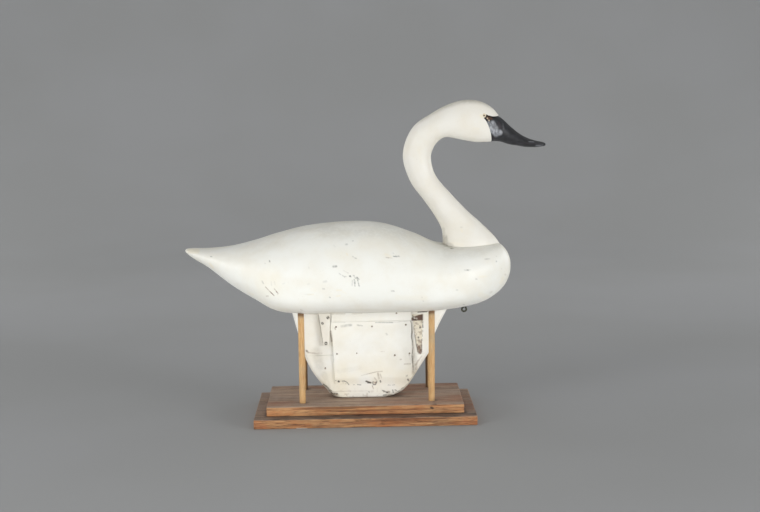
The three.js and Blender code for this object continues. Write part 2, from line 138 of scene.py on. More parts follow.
bill_ribs = [
    [0.075, 0.945, 0.06, 0.735, 1.12, 0.45, 2.4, 2.3],
    [0.15, 0.915, 0.125, 0.717, 1.06, 0.45, 2.5, 2.3],
    [0.2, 0.885, 0.17, 0.716, 0.94, 0.43, 2.2, 2.3],
    [0.23, 0.863, 0.21, 0.712, 0.87, 0.42, 2.0, 2.4],
    [0.268, 0.826, 0.268, 0.693, 0.79, 0.4, 1.9, 2.4],
    [0.328, 0.775, 0.328, 0.682, 0.75, 0.42, 1.9, 2.4],
    [0.388, 0.738, 0.388, 0.672, 0.74, 0.45, 2.0, 2.3],
    [0.446, 0.717, 0.446, 0.67, 0.7, 0.48, 2.0, 2.2],
    [0.495, 0.706, 0.495, 0.674, 0.57, 0.5, 2.0, 2.0],
    [0.518, 0.697, 0.517, 0.68, 0.36, 0.5, 2.0, 2.0],
    [0.524, 0.688, 0.524, 0.688, 0.0, 0.5, 2.0, 2.0],  # tip of the bill
]

# Numbers of ribs: of the neck at its crown, forehead and face, and of the bill where its rings become
# straight and at its tip
crown_rib, forehead_rib, face_rib = 11, 14, 15
straight_bill_rib, bill_tip_rib = 4.7, 10

# Edge of the white face against the bill, from the point of the forehead, back to the eye and down to the
# chin, in shares of the neck's height
face_edge = [
    [0.197, 0.895],
    [0.178, 0.8905],
    [0.152, 0.8885],
    [0.125, 0.8945],
    [0.1, 0.9015],
    [0.089, 0.886],
    [0.103, 0.86],
    [0.121, 0.82],
    [0.135, 0.775],
    [0.142, 0.735],
    [0.143, 0.7137],
]

# Camera: a pinhole fitted to the photograph, whose frame is 760 by 512 pixels. Its place is in millimetres
# and its turns are in radians
frame_wide, frame_high = 760, 512
focal_pixels = 1399.455
sensor_wide = 36
camera_place = np.array([-8.442, -2866.435, 709.66])
camera_yaw, camera_pitch, camera_roll = 0.015467, 0.13149, -0.015993

# Marks fade out below this cosine of the angle at which a surface is turned to the viewer
mark_fade = 0.25


def camera_axes():
    """The camera's right, up and forward: turned by yaw and pitch, then rolled about forward."""
    yaw, pitch, roll = camera_yaw, camera_pitch, camera_roll
    forward = np.array([math.sin(yaw) * math.cos(pitch), math.cos(yaw) * math.cos(pitch), -math.sin(pitch)])
    right = np.array([math.cos(yaw), -math.sin(yaw), 0])
    up = np.cross(right, forward)
    turn_right = math.cos(roll) * right + math.sin(roll) * up
    turn_up = math.cos(roll) * up - math.sin(roll) * right
    return np.array([turn_right, turn_up, forward])


def seen_at(points):
    """Where points are seen in the photograph's frame: their place beside the axis over their depth."""
    right, up, forward = np.moveaxis((points - camera_place) @ camera_axes().T, -1, 0)
    across = frame_wide / 2 + focal_pixels * right / forward
    down = frame_high / 2 - focal_pixels * up / forward
    return np.stack([across, down], axis=-1)


def facing_camera(points, normals):
    """1 where a surface is turned to the camera, falling to 0 where it turns away."""
    away = points - camera_place
    away = away / np.linalg.norm(away, axis=-1, keepdims=True)
    return smooth_step(0.0, mark_fade, -(away * normals).sum(axis=-1))


# Shapes
def smooth_step(low, high, value):
    """0 up to low, 1 from high on, and an S curve between. Low may be the larger one."""
    t = np.clip((value - low) / (high - low), 0, 1)
    return t * t * (3 - 2 * t)


def ripple(points, size, seed):
    """Smooth noise from -1 to 1: random values on a cubic lattice, blended by an S curve along each axis."""
    cells = 32
    lattice = np.random.default_rng(seed).uniform(-1, 1, (cells, cells, cells))
    at = points / size
    cell = np.floor(at).astype(int)
    t = at - cell
    t = t * t * (3 - 2 * t)
    total = 0
    for corner in np.ndindex(2, 2, 2):
        weight = np.prod(np.where(np.array(corner) == 1, t, 1 - t), axis=-1)
        i, j, k = np.moveaxis((cell + corner) % cells, -1, 0)
        total = total + weight * lattice[i, j, k]
    return total


def marked(seen, marks):
    """How strongly each point is marked. A mark is a line with round ends in the photograph's pixels:
    [start across, start down, end across, end down, half width, strength]. Its full strength reaches 0.35
    of the half width out, and none is left from 1.15 on."""
    total = np.zeros(seen.shape[:-1])
    for x0, y0, x1, y1, half, strength in marks:
        start, run = np.array([x0, y0]), np.array([x1 - x0, y1 - y0])
        along = np.clip(((seen - start) @ run) / max(run @ run, 1e-9), 0, 1)
        away = np.linalg.norm(seen - start - along[..., None] * run, axis=-1)
        total = np.maximum(total, strength * smooth_step(1.15, 0.35, away / half))
    return total


def row_at(rows, place):
    """Rows between the given ones: each column runs on a cubic through its values, with slopes of half the
    difference of the neighbours."""
    rows = np.asarray(rows)
    place = np.asarray(place, dtype=float)
    first = np.clip(np.floor(place), 0, len(rows) - 2).astype(int)
    t = (place - first)[..., None]
    before, start, end, after = (rows[np.clip(first + i, 0, len(rows) - 1)] for i in (-1, 0, 1, 2))
    leave, arrive, rise = (end - before) / 2, (after - start) / 2, end - start
    return start + t * leave + t**2 * (3 * rise - 2 * leave - arrive) + t**3 * (leave + arrive - 2 * rise)


def length_along(points):
    """Running length along rows of points: the sum of the steps so far."""
    step = np.linalg.norm(np.diff(points, axis=-2), axis=-1)
    return np.concatenate([np.zeros((*step.shape[:-1], 1)), np.cumsum(step, axis=-1)], axis=-1)


class Carving:
    """A form through ribs. A rib is two half superellipses that meet on its widest line."""

    def __init__(self, ribs, origin, scale, width):
        """Ribs in shares are put in millimetres: the origin plus the share times the scale."""
        self.ribs, self.width = np.array(ribs), width
        self.ribs[:, [0, 2]] = origin[0] + self.ribs[:, [0, 2]] * scale[0]
        self.ribs[:, [1, 3]] = origin[1] + self.ribs[:, [1, 3]] * scale[1]

    def at(self, place):
        """Upper point, lower point, half width, widest line and both roundnesses of the ribs at a place."""
        row = row_at(self.ribs, place)
        half = np.maximum(row[..., 4] * self.width / 2, 0)
        return row[..., 0:2], row[..., 2:4], half, row[..., 5], row[..., 6], row[..., 7]

    def half_width(self, place, height):
        """Half width at a height of 0 to 1 on a rib: half (1 - t^n)^(1/n), t being 1 at the rib's end."""
        _, _, half, widest, above, below = self.at(place)
        t = np.where(height >= widest, (height - widest) / (1 - widest), (widest - height) / widest)
        n = np.where(height >= widest, above, below)
        return half * np.clip(1 - np.clip(t, 0, 1) ** n, 0, 1) ** (1 / n)

    def half_width_at(self, side_view, first, last):
        """Half width at points of the side view: the rib through each is found by halving."""
        low = np.full(side_view.shape[:-1], float(first))
        high = np.full(side_view.shape[:-1], float(last))
        for _ in range(36):
            middle = (low + high) / 2
            upper, lower = self.at(middle)[:2]
            rib, to = upper - lower, side_view - lower
            behind = rib[..., 0] * to[..., 1] - rib[..., 1] * to[..., 0] > 0
            low, high = np.where(behind, low, middle), np.where(behind, middle, high)
        upper, lower = self.at(low)[:2]
        rib = upper - lower
        height = ((side_view - lower) * rib).sum(-1) / (rib * rib).sum(-1)
        return self.half_width(low, height)

    def ring(self, place, turns):
        """Rings of a rib, with a point at each share of its way round, from the top by the near side."""
        angle = np.linspace(0, 2 * np.pi, 721)
        upper, lower, half, widest, above, below = (value[:, None] for value in self.at(place))
        up, out = np.cos(angle)[None], np.sin(angle)[None]
        n = np.where(up >= 0, above, below)
        rise = np.sign(up) * np.abs(up) ** (2 / n)
        across = -half * np.sign(out) * np.abs(out) ** (2 / n)
        height = np.where(rise >= 0, widest + (1 - widest) * rise, widest * (1 + rise))[..., None]
        side_view = lower + (upper - lower) * height
        dense = np.stack([side_view[..., 0], across, side_view[..., 1]], axis=-1)
        rings = [
            np.stack([np.interp(turns * way[-1], way, points[:, axis]) for axis in range(3)], axis=-1)
            for way, points in zip(length_along(dense), dense)
        ]
        return np.array(rings)


body_form = Carving(body_ribs, (body_rear, body_underside), (body_length, body_depth), body_width)
neck_form = Carving(neck_ribs, (neck_forward, neck_seat), (neck_height, neck_height), neck_width)
bill_form = Carving(bill_ribs, (neck_forward, neck_seat), (neck_height, neck_height), neck_width)


def body_height(x, y, over):
    """Height of the body's top or underside above a point: the superellipse solved for its height."""
    places = np.linspace(0.5, len(body_ribs) - 1.2, 900)
    column = 0 if over else 2
    place = np.interp(x, row_at(body_form.ribs, places)[:, column], places)
    upper, lower, half, widest, above, below = body_form.at(place)
    n = above if over else below
    t = np.clip(1 - np.clip(np.abs(y) / half, 0, 1) ** n, 0, 1) ** (1 / n)
    height = widest + (1 - widest) * t if over else widest * (1 - t)
    return lower[..., 1] + (upper[..., 1] - lower[..., 1]) * height


def normals_of(grid):
    """Outward normals of rings: cross product of the steps along and round, turned away from the middle."""
    along = np.gradient(grid, axis=0)
    around = np.roll(grid, -1, axis=1) - np.roll(grid, 1, axis=1)
    normal = np.cross(around, along)
    normal /= np.maximum(np.linalg.norm(normal, axis=-1, keepdims=True), 1e-9)
    outward = (normal * (grid - grid.mean(axis=1, keepdims=True))).sum() > 0
    return normal if outward else -normal


def closed_faces(rings, sides):
    """Faces of rings closed by a fan to a point at each end. Point 0 is the start, the last the end."""
    side = np.arange(sides)
    beside = (side + 1) % sides
    ring = 1 + np.arange(rings - 1)[:, None] * sides
    quads = np.stack([ring + side, ring + beside, ring + sides + beside, ring + sides + side], axis=-1)
    last = 1 + (rings - 1) * sides
    start = np.stack([np.zeros_like(side), 1 + beside, 1 + side], axis=-1)
    end = np.stack([np.full_like(side, 1 + rings * sides), last + side, last + beside], axis=-1)
    return quads.reshape(-1, 4), np.concatenate([start, end])


def smooth_mesh(name, points, faces, material, paints):
    """A smooth mesh in metres in the scene, with a float attribute for each paint."""
    mesh = bpy.data.meshes.new(name)
    mesh.from_pydata((points / 1000).tolist(), [], faces)
    mesh.polygons.foreach_set("use_smooth", np.ones(len(mesh.polygons), dtype=bool))
    for paint, values in paints.items():
        layer = mesh.attributes.new(paint, "FLOAT", "POINT")
        layer.data.foreach_set("value", np.asarray(values, dtype=np.float32))
    mesh.materials.append(material)
    mesh.update()
    made = bpy.data.objects.new(name, mesh)
    bpy.context.scene.collection.objects.link(made)
    return made


def closed_mesh(name, points, quads, triangles, material, paints):
    """A closed mesh with its faces turned outwards: the sum of a . (b x c) over its faces is its volume
    times six, so it is turned round where that is below 0."""
    corners = np.concatenate([triangles, quads[:, [0, 1, 2]], quads[:, [0, 2, 3]]])
    a, b, c = (points[corners[:, i]] for i in range(3))
    if (a * np.cross(b, c)).sum() < 0:
        quads, triangles = quads[:, ::-1], triangles[:, ::-1]
    return smooth_mesh(name, points, quads.tolist() + triangles.tolist(), material, paints)


def belongs(piece, slot, *nodes):
    """The piece stands still with the swan and stands for these nodes. The slot is not used."""
    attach(piece, "root")
    if nodes:
        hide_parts(*nodes)
    return piece


def ringed_piece(name, grid, material, slot, nodes=(), ends=None, **paints):
    """A closed piece through rings. Its end points are given, or are the middles of the end rings."""
    start, end = ends if ends is not None else (grid[0].mean(axis=0), grid[-1].mean(axis=0))
    points = np.concatenate([[start], grid.reshape(-1, 3), [end]])
    values = {
        paint: np.clip(np.concatenate([[shown[0].mean()], shown.ravel(), [shown[-1].mean()]]), 0, 1)
        for paint, shown in paints.items()
    }
    quads, triangles = closed_faces(*grid.shape[:2])
    return belongs(closed_mesh(name, points, quads, triangles, material, values), slot, *nodes)


def even_places(form, first, last, count):
    """Places along a carving, evenly spaced along the middle of its ribs."""
    places = np.linspace(first, last, 1200)
    upper, lower = form.at(places)[:2]
    way = length_along((upper + lower) / 2)
    return np.interp(np.linspace(0, way[-1], count), way, places)


def rounded_loop(near, front, far, rear, corner):
    """One turn round a rounded rectangle, as shares of its straight sides and the way out at each point:
    near side, front, far side, rear, with a quarter circle at each corner."""
    shares, outs = [], []
    ends = np.array([[0, 0], [1, 0], [1, 1], [0, 1], [0, 0]], dtype=float)
    for side, count in enumerate((near, front, far, rear)):
        t = np.linspace(0, 1, count)[:, None]
        shares.append(ends[side] * (1 - t) + ends[side + 1] * t)
        straight = math.radians(90 * side - 90)
        outs.append(np.tile([math.cos(straight), math.sin(straight)], (count, 1)))
        bend = straight + np.linspace(0, np.pi / 2, corner + 2)[1:-1]
        shares.append(np.tile(ends[side + 1], (corner, 1)))
        outs.append(np.stack([np.cos(bend), np.sin(bend)], axis=-1))
    return np.concatenate(shares), np.concatenate(outs)


def rectangles(low, high, radius, loop):
    """Rounded rectangles: each point is the corner's middle, plus a share of the straight side, plus the
    radius times the way out. Low, high and radius have a row for each ring and a column for each axis."""
    shares, outs = loop
    inner_low, inner_high = low + radius, high - radius
    side = (inner_high - inner_low)[:, None]
    return inner_low[:, None] + side * shares[None] + radius[:, None] * outs[None]


def eased(count, start_edge, end_edge, length):
    """Stations from 0 to length with the ends eased: stations and how far each is drawn in, on a quarter
    circle with the end's radius. They start closer together."""
    bend = np.linspace(0, np.pi / 2, 5)
    run = start_edge + (length - start_edge - end_edge) * np.linspace(0, 1, count)[1:-1] ** 1.15
    rise, fall = 1 - np.cos(bend), 1 - np.sin(bend)
    stations = np.concatenate([start_edge * rise, run, (length - end_edge * rise)[::-1]])
    return stations, np.concatenate([start_edge * fall, np.zeros(len(run)), end_edge * fall[::-1]])


def with_end_rings(grid, shares=(0.25, 0.55, 0.8, 0.94)):
    """Rings inside the first and last ring, drawn towards their middles, so that flat ends have faces of
    even size."""
    first, last = grid[:1], grid[-1:]
    share = np.array(shares)[:, None, None]
    start = first.mean(axis=1, keepdims=True) * (1 - share) + first * share
    end = last.mean(axis=1, keepdims=True) * (1 - share) + last * share
    return np.concatenate([start, grid, end[::-1]])


# Materials
def linear(hex_colour):
    """An sRGB hex value as linear red, green and blue, opaque."""
    values = [int(hex_colour[i : i + 2], 16) / 255 for i in (1, 3, 5)]
    return (*[v / 12.92 if v <= 0.04045 else ((v + 0.055) / 1.055) ** 2.4 for v in values], 1.0)


def add_node(material, kind, inputs=None, **settings):
    """A shader node with its settings. An input takes a value, or the node or output that feeds it."""
    made = material.node_tree.nodes.new("ShaderNode" + kind)
    for name, value in settings.items():
        setattr(made, name, value)
    for key, value in (inputs or {}).items():
        if isinstance(value, bpy.types.Node):
            value = next(output for output in value.outputs if output.enabled)
        if isinstance(value, bpy.types.NodeSocket):
            material.node_tree.links.new(value, made.inputs[key])
        else:
            made.inputs[key].default_value = value
    return made


def finish(name, patterns, layers, sockets, relief):
    """A material for one finish. Patterns are noise over the object's own coordinates: grain in millimetres,
    stretch along each axis, detail, and the range of the noise that is turned smoothly into a least and a
    most. Layers are colours, each laid over the last by a strength times its masks. A socket of the shader
    takes a number, or a sum of such products. Relief has a depth in millimetres times its masks. A mask is
    a pattern, or else an attribute of the piece."""
    material = bpy.data.materials.new(name)
    material.use_nodes = True
    material.node_tree.nodes.clear()
    place = add_node(material, "TexCoord").outputs["Object"]
    masks = {}
    for key, (grain, stretch, detail, low, high, least, most) in patterns.items():
        drawn = add_node(material, "Mapping", {"Vector": place, "Scale": stretch})
        inputs = {"Vector": drawn, "Scale": 1000 / grain, "Detail": detail, "Roughness": 0.58}
        noise = add_node(material, "TexNoise", inputs).outputs["Fac"]
        inputs = {"Value": noise, "From Min": low, "From Max": high, "To Min": least, "To Max": most}
        masks[key] = add_node(material, "MapRange", inputs, interpolation_type="SMOOTHSTEP")

    def product(strength, names):
        """A strength times each of the named masks in turn."""
        total = strength
        for key in names.split():
            if key not in masks:
                masks[key] = add_node(material, "Attribute", attribute_name=key).outputs["Fac"]
            factors = {0: total, 1: masks[key]}
            total = add_node(material, "Math", factors, operation="MULTIPLY", use_clamp=True)
        return total

    colour = linear(layers[0][0])
    for over, strength, names in layers[1:]:
        inputs = {0: product(strength, names), 6: colour, 7: linear(over)}
        colour = add_node(material, "Mix", inputs, data_type="RGBA")
    inputs = {"Base Color": colour}
    for socket, terms in sockets.items():
        if isinstance(terms, list):
            total, *others = [product(*term) for term in terms]
            for other in others:
                total = add_node(material, "Math", {0: total, 1: other}, operation="ADD", use_clamp=True)
            terms = total
        inputs[socket] = terms
    for depth, names in relief:
        bump = {"Height": product(1.0, names), "Distance": depth / 1000, "Strength": 1.0}
        if "Normal" in inputs:
            bump["Normal"] = inputs["Normal"]
        inputs["Normal"] = add_node(material, "Bump", bump)
    shader = add_node(material, "BsdfPrincipled", inputs)
    add_node(material, "OutputMaterial", {"Surface": shader})
    return material


# Stretch of a pattern along each axis
even = (1, 1, 1)
along_board = (0.045, 1, 1)

# House paint in linseed oil, brushed on carved pine and aged. It gives a satin white, a little yellow in
# clouds, with dust in the film, fine brush marks, and wood fibres where it is worn through
paint_patterns = {
    "cloud": (55, even, 3, 0.35, 0.75, 0, 0.6),
    "speck": (3.2, even, 2, 0.66, 0.78, 0, 0.2),
    "broken": (8, even, 4, 0.3, 0.6, 0.6, 1.1),
    "sheen": (18, even, 4, 0.3, 0.7, 0.38, 0.52),
    "brush": (1.3, (0.06, 1, 1), 3, 0, 1, 0, 1),
    "uneven": (9, even, 4, 0, 1, 0, 1),
    "fibre": (1.6, (0.35, 1, 1), 6, 0.34, 0.64, 0, 1),
}


def white_layers(white, cream):
    """White ground, cream clouds, dust, then what each attribute of a piece adds to it."""
    return [
        (white, 1, ""),
        (cream, 1, "cloud"),
        ("#B7AF9C", 1, "speck"),
        ("#EFE4C6", 1, "warm"),
        # Grime, and on the body and neck painted shade too
        ("#8F8A78", 1, "grime broken"),
        ("#7C7C77", 1, "grey broken"),
        ("#7E6243", 1, "brown broken"),
        ("#6B5543", 1, "bare"),
        ("#C9B396", 1, "bare fibre"),
        ("#332A24", 1, "dark"),
    ]


paint_sockets = {"Roughness": [(1, "sheen"), (0.3, "bare"), (0.2, "grime")]}
body_paint = finish(
    "white_oil_paint", paint_patterns, white_layers("#F2F2EB", "#EAE5D6"), paint_sockets,
    [(0.12, "brush"), (0.14, "uneven")],
)
# The keel is whiter and thicker, with bare stained wood where its lost strap was
keel_layers = white_layers("#F5F4ED", "#EDE7D6")
keel_layers.insert(-1, ("#75594A", 1, "stain"))
keel_paint = finish(
    "old_keel_paint", paint_patterns, keel_layers, paint_sockets,
    [(0.2, "brush"), (0.25, "uneven"), (0.35, "fibre bare")],
)
# The straps have the same thick paint, a little creamier and rougher
strap_paint = finish(
    "strap_paint", paint_patterns, white_layers("#F6F3EA", "#EAE3D4"), paint_sockets,
    [(0.22, "brush"), (0.3, "uneven"), (0.35, "fibre bare")],
)

# The same oil paint on the head, and satin black on the bill, which is rubbed grey at its root, with a
# painted sheen on the rub. Tan wood shows beside the eye
head_layers = white_layers("#EDEAE1", "#E7E0CF")
head_layers[-3:] = [
    ("#17181B", 1, "bill"),
    ("#26282D", 1, "bill streak"),
    # Rubbed grey at the bill's root, lightened as painted sheen
    ("#85878C", 1, "rubbed"),
    ("#AEB1B6", 1, "rubbed mottle"),
    ("#5C5D63", 0.7, "rubbed streak"),
    ("#2A2329", 1, "crease"),
    ("#5B3B2A", 1, "lore"),
    ("#DCC3A2", 1, "tan"),
    ("#1E1917", 1, "dark"),
]
bill_patterns = {
    "streak": (5, (0.6, 1, 0.6), 4, 0.42, 0.66, 0, 1),
    "mottle": (5, (1, 1, 0.5), 4, 0.38, 0.6, 0, 1),
}
head_patterns = {name: row for name, row in paint_patterns.items() if name != "fibre"}
head_paint = finish(
    "white_and_black_oil_paint", {**head_patterns, **bill_patterns}, head_layers,
    {"Roughness": [(1, "sheen")]}, [(0.1, "brush"), (0.14, "uneven")],
)

# Pine board with a thin brown varnish stain. Its sawn edges took the stain in streaks, and its tops are
# greyed by dust. The grain runs along the board
board_patterns = {
    "figure": (13, along_board, 3, 0.32, 0.66, 0, 1),
    "fibre": (2.2, along_board, 6, 0.36, 0.64, 0, 1),
    "pore": (1.5, (0.07, 1, 1), 3, 0.54, 0.7, 0, 1),
    "red": (60, (0.25, 1, 1), 3, 0.48, 0.66, 0, 1),
    "blotch": (42, (0.5, 1, 1), 5, 0.35, 0.68, 0, 1),
    "streak": (4.5, (0.035, 1, 1), 4, 0.5, 0.62, 0, 1),
    "patch": (16, (0.4, 1, 1), 4, 0.42, 0.62, 0, 1),
    "broken": (7, even, 4, 0.35, 0.6, 0.4, 1.0),
    "sheen": (20, even, 4, 0.3, 0.7, 0.45, 0.62),
}
board_finish = finish(
    "brown_stained_pine",
    board_patterns,
    [
        ("#88573B", 1, ""),
        ("#CA9663", 1, "figure"),
        ("#D6A875", 0.6, "fibre"),
        ("#A65A33", 0.6, "red"),
        ("#B5713F", 0.5, "patch"),
        ("#6A4026", 0.7, "streak"),
        ("#5E3B25", 0.8, "pore"),
        ("#796252", 1, "dust"),
        ("#B19883", 1, "dust figure"),
        ("#BFA58E", 0.5, "dust fibre"),
        ("#9B887A", 0.7, "dust blotch"),
        ("#9A6345", 0.6, "dust red"),
        ("#5C483A", 0.6, "dust pore"),
        # Grime, and painted shade where things stand on the boards
        ("#34261D", 1, "grime"),
        ("#B9663F", 1, "rosy broken"),
        ("#CFA67A", 1, "worn"),
        ("#EDE8DE", 1, "scuff"),
    ],
    {"Roughness": [(1, "sheen"), (0.15, "dust")]},
    [(0.4, "fibre"), (0.35, "pore")],
)

# Plain dowel rod, unpainted, slightly yellowed and handled. Its grain runs upwards
dowel_finish = finish(
    "plain_dowel_wood",
    {
        "fibre": (1.2, (1, 1, 0.05), 5, 0.34, 0.64, 0, 1),
        "band": (8, (1, 1, 0.2), 2, 0.35, 0.65, 0, 1),
        "blotch": (26, (1, 1, 0.5), 3, 0.45, 0.72, 0, 0.6),
    },
    [
        ("#BC8B52", 1, ""),
        ("#DFB982", 1, "fibre"),
        ("#C9A06C", 0.5, "band"),
        ("#A99A7C", 1, "blotch"),
        # Grime, and painted shade at the top under the body
        ("#7A5630", 1, "grime"),
        ("#54391F", 1, "dark"),
    ],
    {"Roughness": 0.55},
    [(0.15, "fibre")],
)

# Iron wire, dull and weathered: rough oxide in patches over grey metal
wire_iron = finish(
    "weathered_iron_wire",
    {"oxide": (2, even, 5, 0.42, 0.62, 0, 0.6), "clean": (2, even, 5, 0.42, 0.62, 0.7, 0.2)},
    [("#4D4F43", 1, ""), ("#2C2920", 1, "oxide")],
    {"Metallic": [(1, "clean")], "Roughness": [(1, "oxide"), (0.3, "")]},
    [(0.1, "oxide")],
)

# Nail heads under thin paint that has rusted through, each a little different
painted_nails = finish(
    "painted_nail_heads",
    {"oxide": (5, even, 2, 0.38, 0.6, 0, 1), "pit": (1.2, even, 4, 0.45, 0.65, 0, 1)},
    [("#B5AB98", 1, ""), ("#6E5A45", 0.9, "oxide"), ("#4A3B2E", 0.6, "pit")],
    {"Roughness": 0.6},
    [(0.12, "pit")],
)

# Steel screws with zinc worn off: grey with darker rims
screw_steel = finish(
    "worn_steel_screws",
    {"oxide": (3, even, 4, 0.4, 0.6, 0, 1), "dull": (3, even, 4, 0.4, 0.6, 0.4, 0.1)},
    [("#8C8C80", 1, ""), ("#4B4437", 0.8, "oxide")],
    {"Metallic": [(1, "dull")], "Roughness": 0.45},
    [(0.08, "oxide")],
)

# Small opaque glass eye: a dark pupil in a cream ring, glossy
glass_eye = finish(
    "opaque_glass_eye",
    {"vein": (1.2, even, 3, 0.4, 0.7, 0, 0.6)},
    [("#EBE0C8", 1, ""), ("#CDB487", 1, "vein"), ("#2E1A0D", 1, "pupil")],
    {"Roughness": 0.22, "IOR": 1.4},
    [],
)


# Marks on the body, in the photograph's pixels: [start across, start down, end across, end down, half width,
# strength]. Grey ones are scratches and rubs in the paint
body_grey = [
    [333.5, 266.5, 336.2, 266.3, 1.35, 0.5],
    [335.3, 266.4, 336.5, 266.3, 0.9, 0.85],
    [339.0, 273.4, 339.4, 273.7, 0.6, 0.45],
    [340.4, 274.2, 341.0, 274.7, 0.55, 0.5],
    [342.2, 275.3, 342.8, 275.8, 0.55, 0.5],
    [343.6, 276.2, 344.8, 277.0, 0.6, 0.55],
    [343.0, 270.2, 345.4, 271.6, 0.45, 0.25],
    [346.0, 272.0, 348.6, 273.2, 0.45, 0.25],
    [345.5, 276.4, 346.3, 276.6, 0.7, 0.5],
    [349.6, 276.3, 350.2, 276.0, 0.75, 0.9],
    [350.3, 276.2, 350.9, 276.9, 0.6, 0.7],
    [353.6, 275.6, 354.2, 275.9, 0.8, 0.55],
    [354.9, 277.6, 356.3, 278.7, 0.7, 0.6],
    [357.0, 277.4, 357.9, 278.3, 0.8, 0.85],
    [358.2, 278.4, 359.0, 279.4, 0.6, 0.6],
    [352.3, 280.4, 352.1, 285.6, 0.5, 0.4],
    [354.2, 279.6, 354.9, 286.0, 0.6, 0.8],
    [355.6, 281.0, 355.4, 284.0, 0.5, 0.45],
    [357.6, 279.8, 358.4, 283.0, 0.6, 0.75],
    [358.3, 283.0, 359.2, 286.2, 0.55, 0.7],
    [345.6, 244.2, 347.2, 244.2, 1.0, 0.4],
    [352.4, 240.8, 353.4, 240.6, 0.7, 0.25],
    [334.0, 245.5, 335.0, 246.5, 1.1, 0.12],
    [352.2, 256.2, 353.3, 256.8, 0.6, 0.45],
    [354.6, 257.8, 356.2, 258.4, 0.7, 0.45],
    [393.8, 256.4, 399.4, 256.3, 0.55, 0.95],
    [396.0, 256.2, 399.0, 256.1, 0.5, 0.8],
    [393.0, 253.1, 393.4, 253.2, 0.7, 0.35],
    [391.6, 291.1, 393.8, 291.0, 0.8, 0.4],
    [329.6, 297.3, 330.1, 297.5, 0.8, 0.45],
    [323.6, 281.8, 326.2, 281.4, 1.4, 0.16],
    [322.8, 288.8, 324.4, 288.9, 0.9, 0.32],
    [308.0, 284.1, 309.4, 283.9, 0.9, 0.14],
    [282.8, 283.9, 284.6, 283.2, 0.8, 0.14],
    [271.2, 282.0, 271.4, 285.2, 0.8, 0.16],
    [274.6, 281.8, 274.9, 284.6, 0.7, 0.14],
    [262.0, 281.2, 263.4, 283.6, 0.8, 0.3],
    [269.4, 260.6, 269.7, 261.8, 0.7, 0.55],
    [264.6, 263.2, 265.1, 263.4, 0.6, 0.4],
    [308.6, 267.2, 308.9, 268.4, 0.8, 0.14],
    [210.8, 256.5, 211.6, 256.5, 0.7, 0.5],
    [464.8, 270.0, 466.6, 270.2, 0.7, 0.25],
    [466.8, 270.0, 468.2, 270.1, 0.8, 0.6],
    [469.0, 270.0, 470.2, 269.8, 0.6, 0.25],
    [485.2, 259.2, 489.6, 258.8, 0.9, 0.3],
    [496.3, 261.0, 496.6, 261.6, 0.8, 0.45],
    [496.5, 256.2, 496.7, 256.4, 0.6, 0.25],
    [475.8, 279.0, 477.2, 279.1, 0.8, 0.35],
    [456.6, 290.0, 457.4, 290.0, 0.8, 0.2],
    [463.0, 304.4, 464.6, 304.7, 0.7, 0.3],
    [501.4, 268.6, 501.7, 268.9, 0.7, 0.2],
    [423.0, 301.0, 423.8, 301.0, 0.8, 0.28],
    [421.7, 297.2, 422.2, 297.2, 0.8, 0.24],
    [305.0, 294.3, 311.5, 294.4, 0.6, 0.12],
]
# Brown ones are scratches down to the wood
body_brown = [
    [265.4, 287.0, 269.6, 291.2, 0.5, 0.5],
    [269.6, 291.2, 274.0, 295.6, 0.55, 0.75],
    [274.4, 288.8, 276.4, 291.4, 0.5, 0.55],
    [276.2, 291.3, 277.4, 292.8, 0.6, 0.95],
    [277.4, 294.6, 278.6, 293.2, 0.5, 0.3],
    [266.4, 296.2, 268.2, 296.1, 0.7, 0.45],
    [386.2, 257.5, 388.4, 257.8, 0.6, 0.6],
    [388.4, 257.8, 391.8, 257.9, 0.5, 0.35],
    [463.0, 246.4, 463.6, 246.5, 0.7, 0.3],
    [490.0, 293.0, 491.6, 292.0, 1.4, 0.2],
    [505.4, 274.2, 505.7, 275.0, 0.7, 0.35],
    [300.8, 309.8, 302.4, 310.4, 0.9, 0.2],
]
# Dirt and painted shade in the corner behind the neck, a dark speck below it, and painted shade on the
# body under the neck's foot
corner_dirt_and_painted_shade = [
    [436.0, 242.6, 441.0, 243.6, 2.4, 0.3],
    [441.4, 243.0, 446.6, 245.2, 3.0, 0.58],
    [446.0, 245.4, 451.0, 247.2, 2.0, 0.5],
    [451.4, 248.4, 452.8, 248.5, 1.0, 1.0],
    # Painted shade under the neck's foot
    [449.0, 248.6, 463.0, 248.0, 3.4, 0.22],
]
# Warm patches, where the paint has yellowed
body_warm = [
    [189.5, 251.0, 197.0, 251.0, 3.4, 0.5],
    [210.0, 263.6, 213.0, 267.6, 1.3, 0.35],
    [312.0, 289.5, 315.0, 290.5, 2.6, 0.14],
    [308.0, 294.6, 313.4, 294.4, 1.0, 0.25],
    [346.6, 253.6, 347.4, 255.2, 1.0, 0.3],
    [386.0, 254.6, 390.5, 256.6, 1.8, 0.24],
    [336.6, 290.4, 341.6, 290.2, 0.9, 0.35],
    [336.4, 296.2, 340.2, 295.6, 0.8, 0.35],
    [343.0, 291.8, 345.6, 293.4, 1.0, 0.16],
    [480.0, 276.8, 486.0, 276.4, 1.4, 0.2],
    [481.0, 295.0, 489.0, 299.0, 4.0, 0.2],
    [503.0, 278.0, 500.5, 283.0, 2.0, 0.22],
    [249.0, 293.0, 253.0, 294.6, 1.6, 0.2],
    [397.0, 297.6, 425.0, 297.6, 3.2, 0.12],
]


def crowded(values, density, count):
    """Values spaced by a density: its running sum is cut into equal steps."""
    way = np.cumsum(density)
    return np.interp(np.linspace(way[0], way[-1], count), way, values)


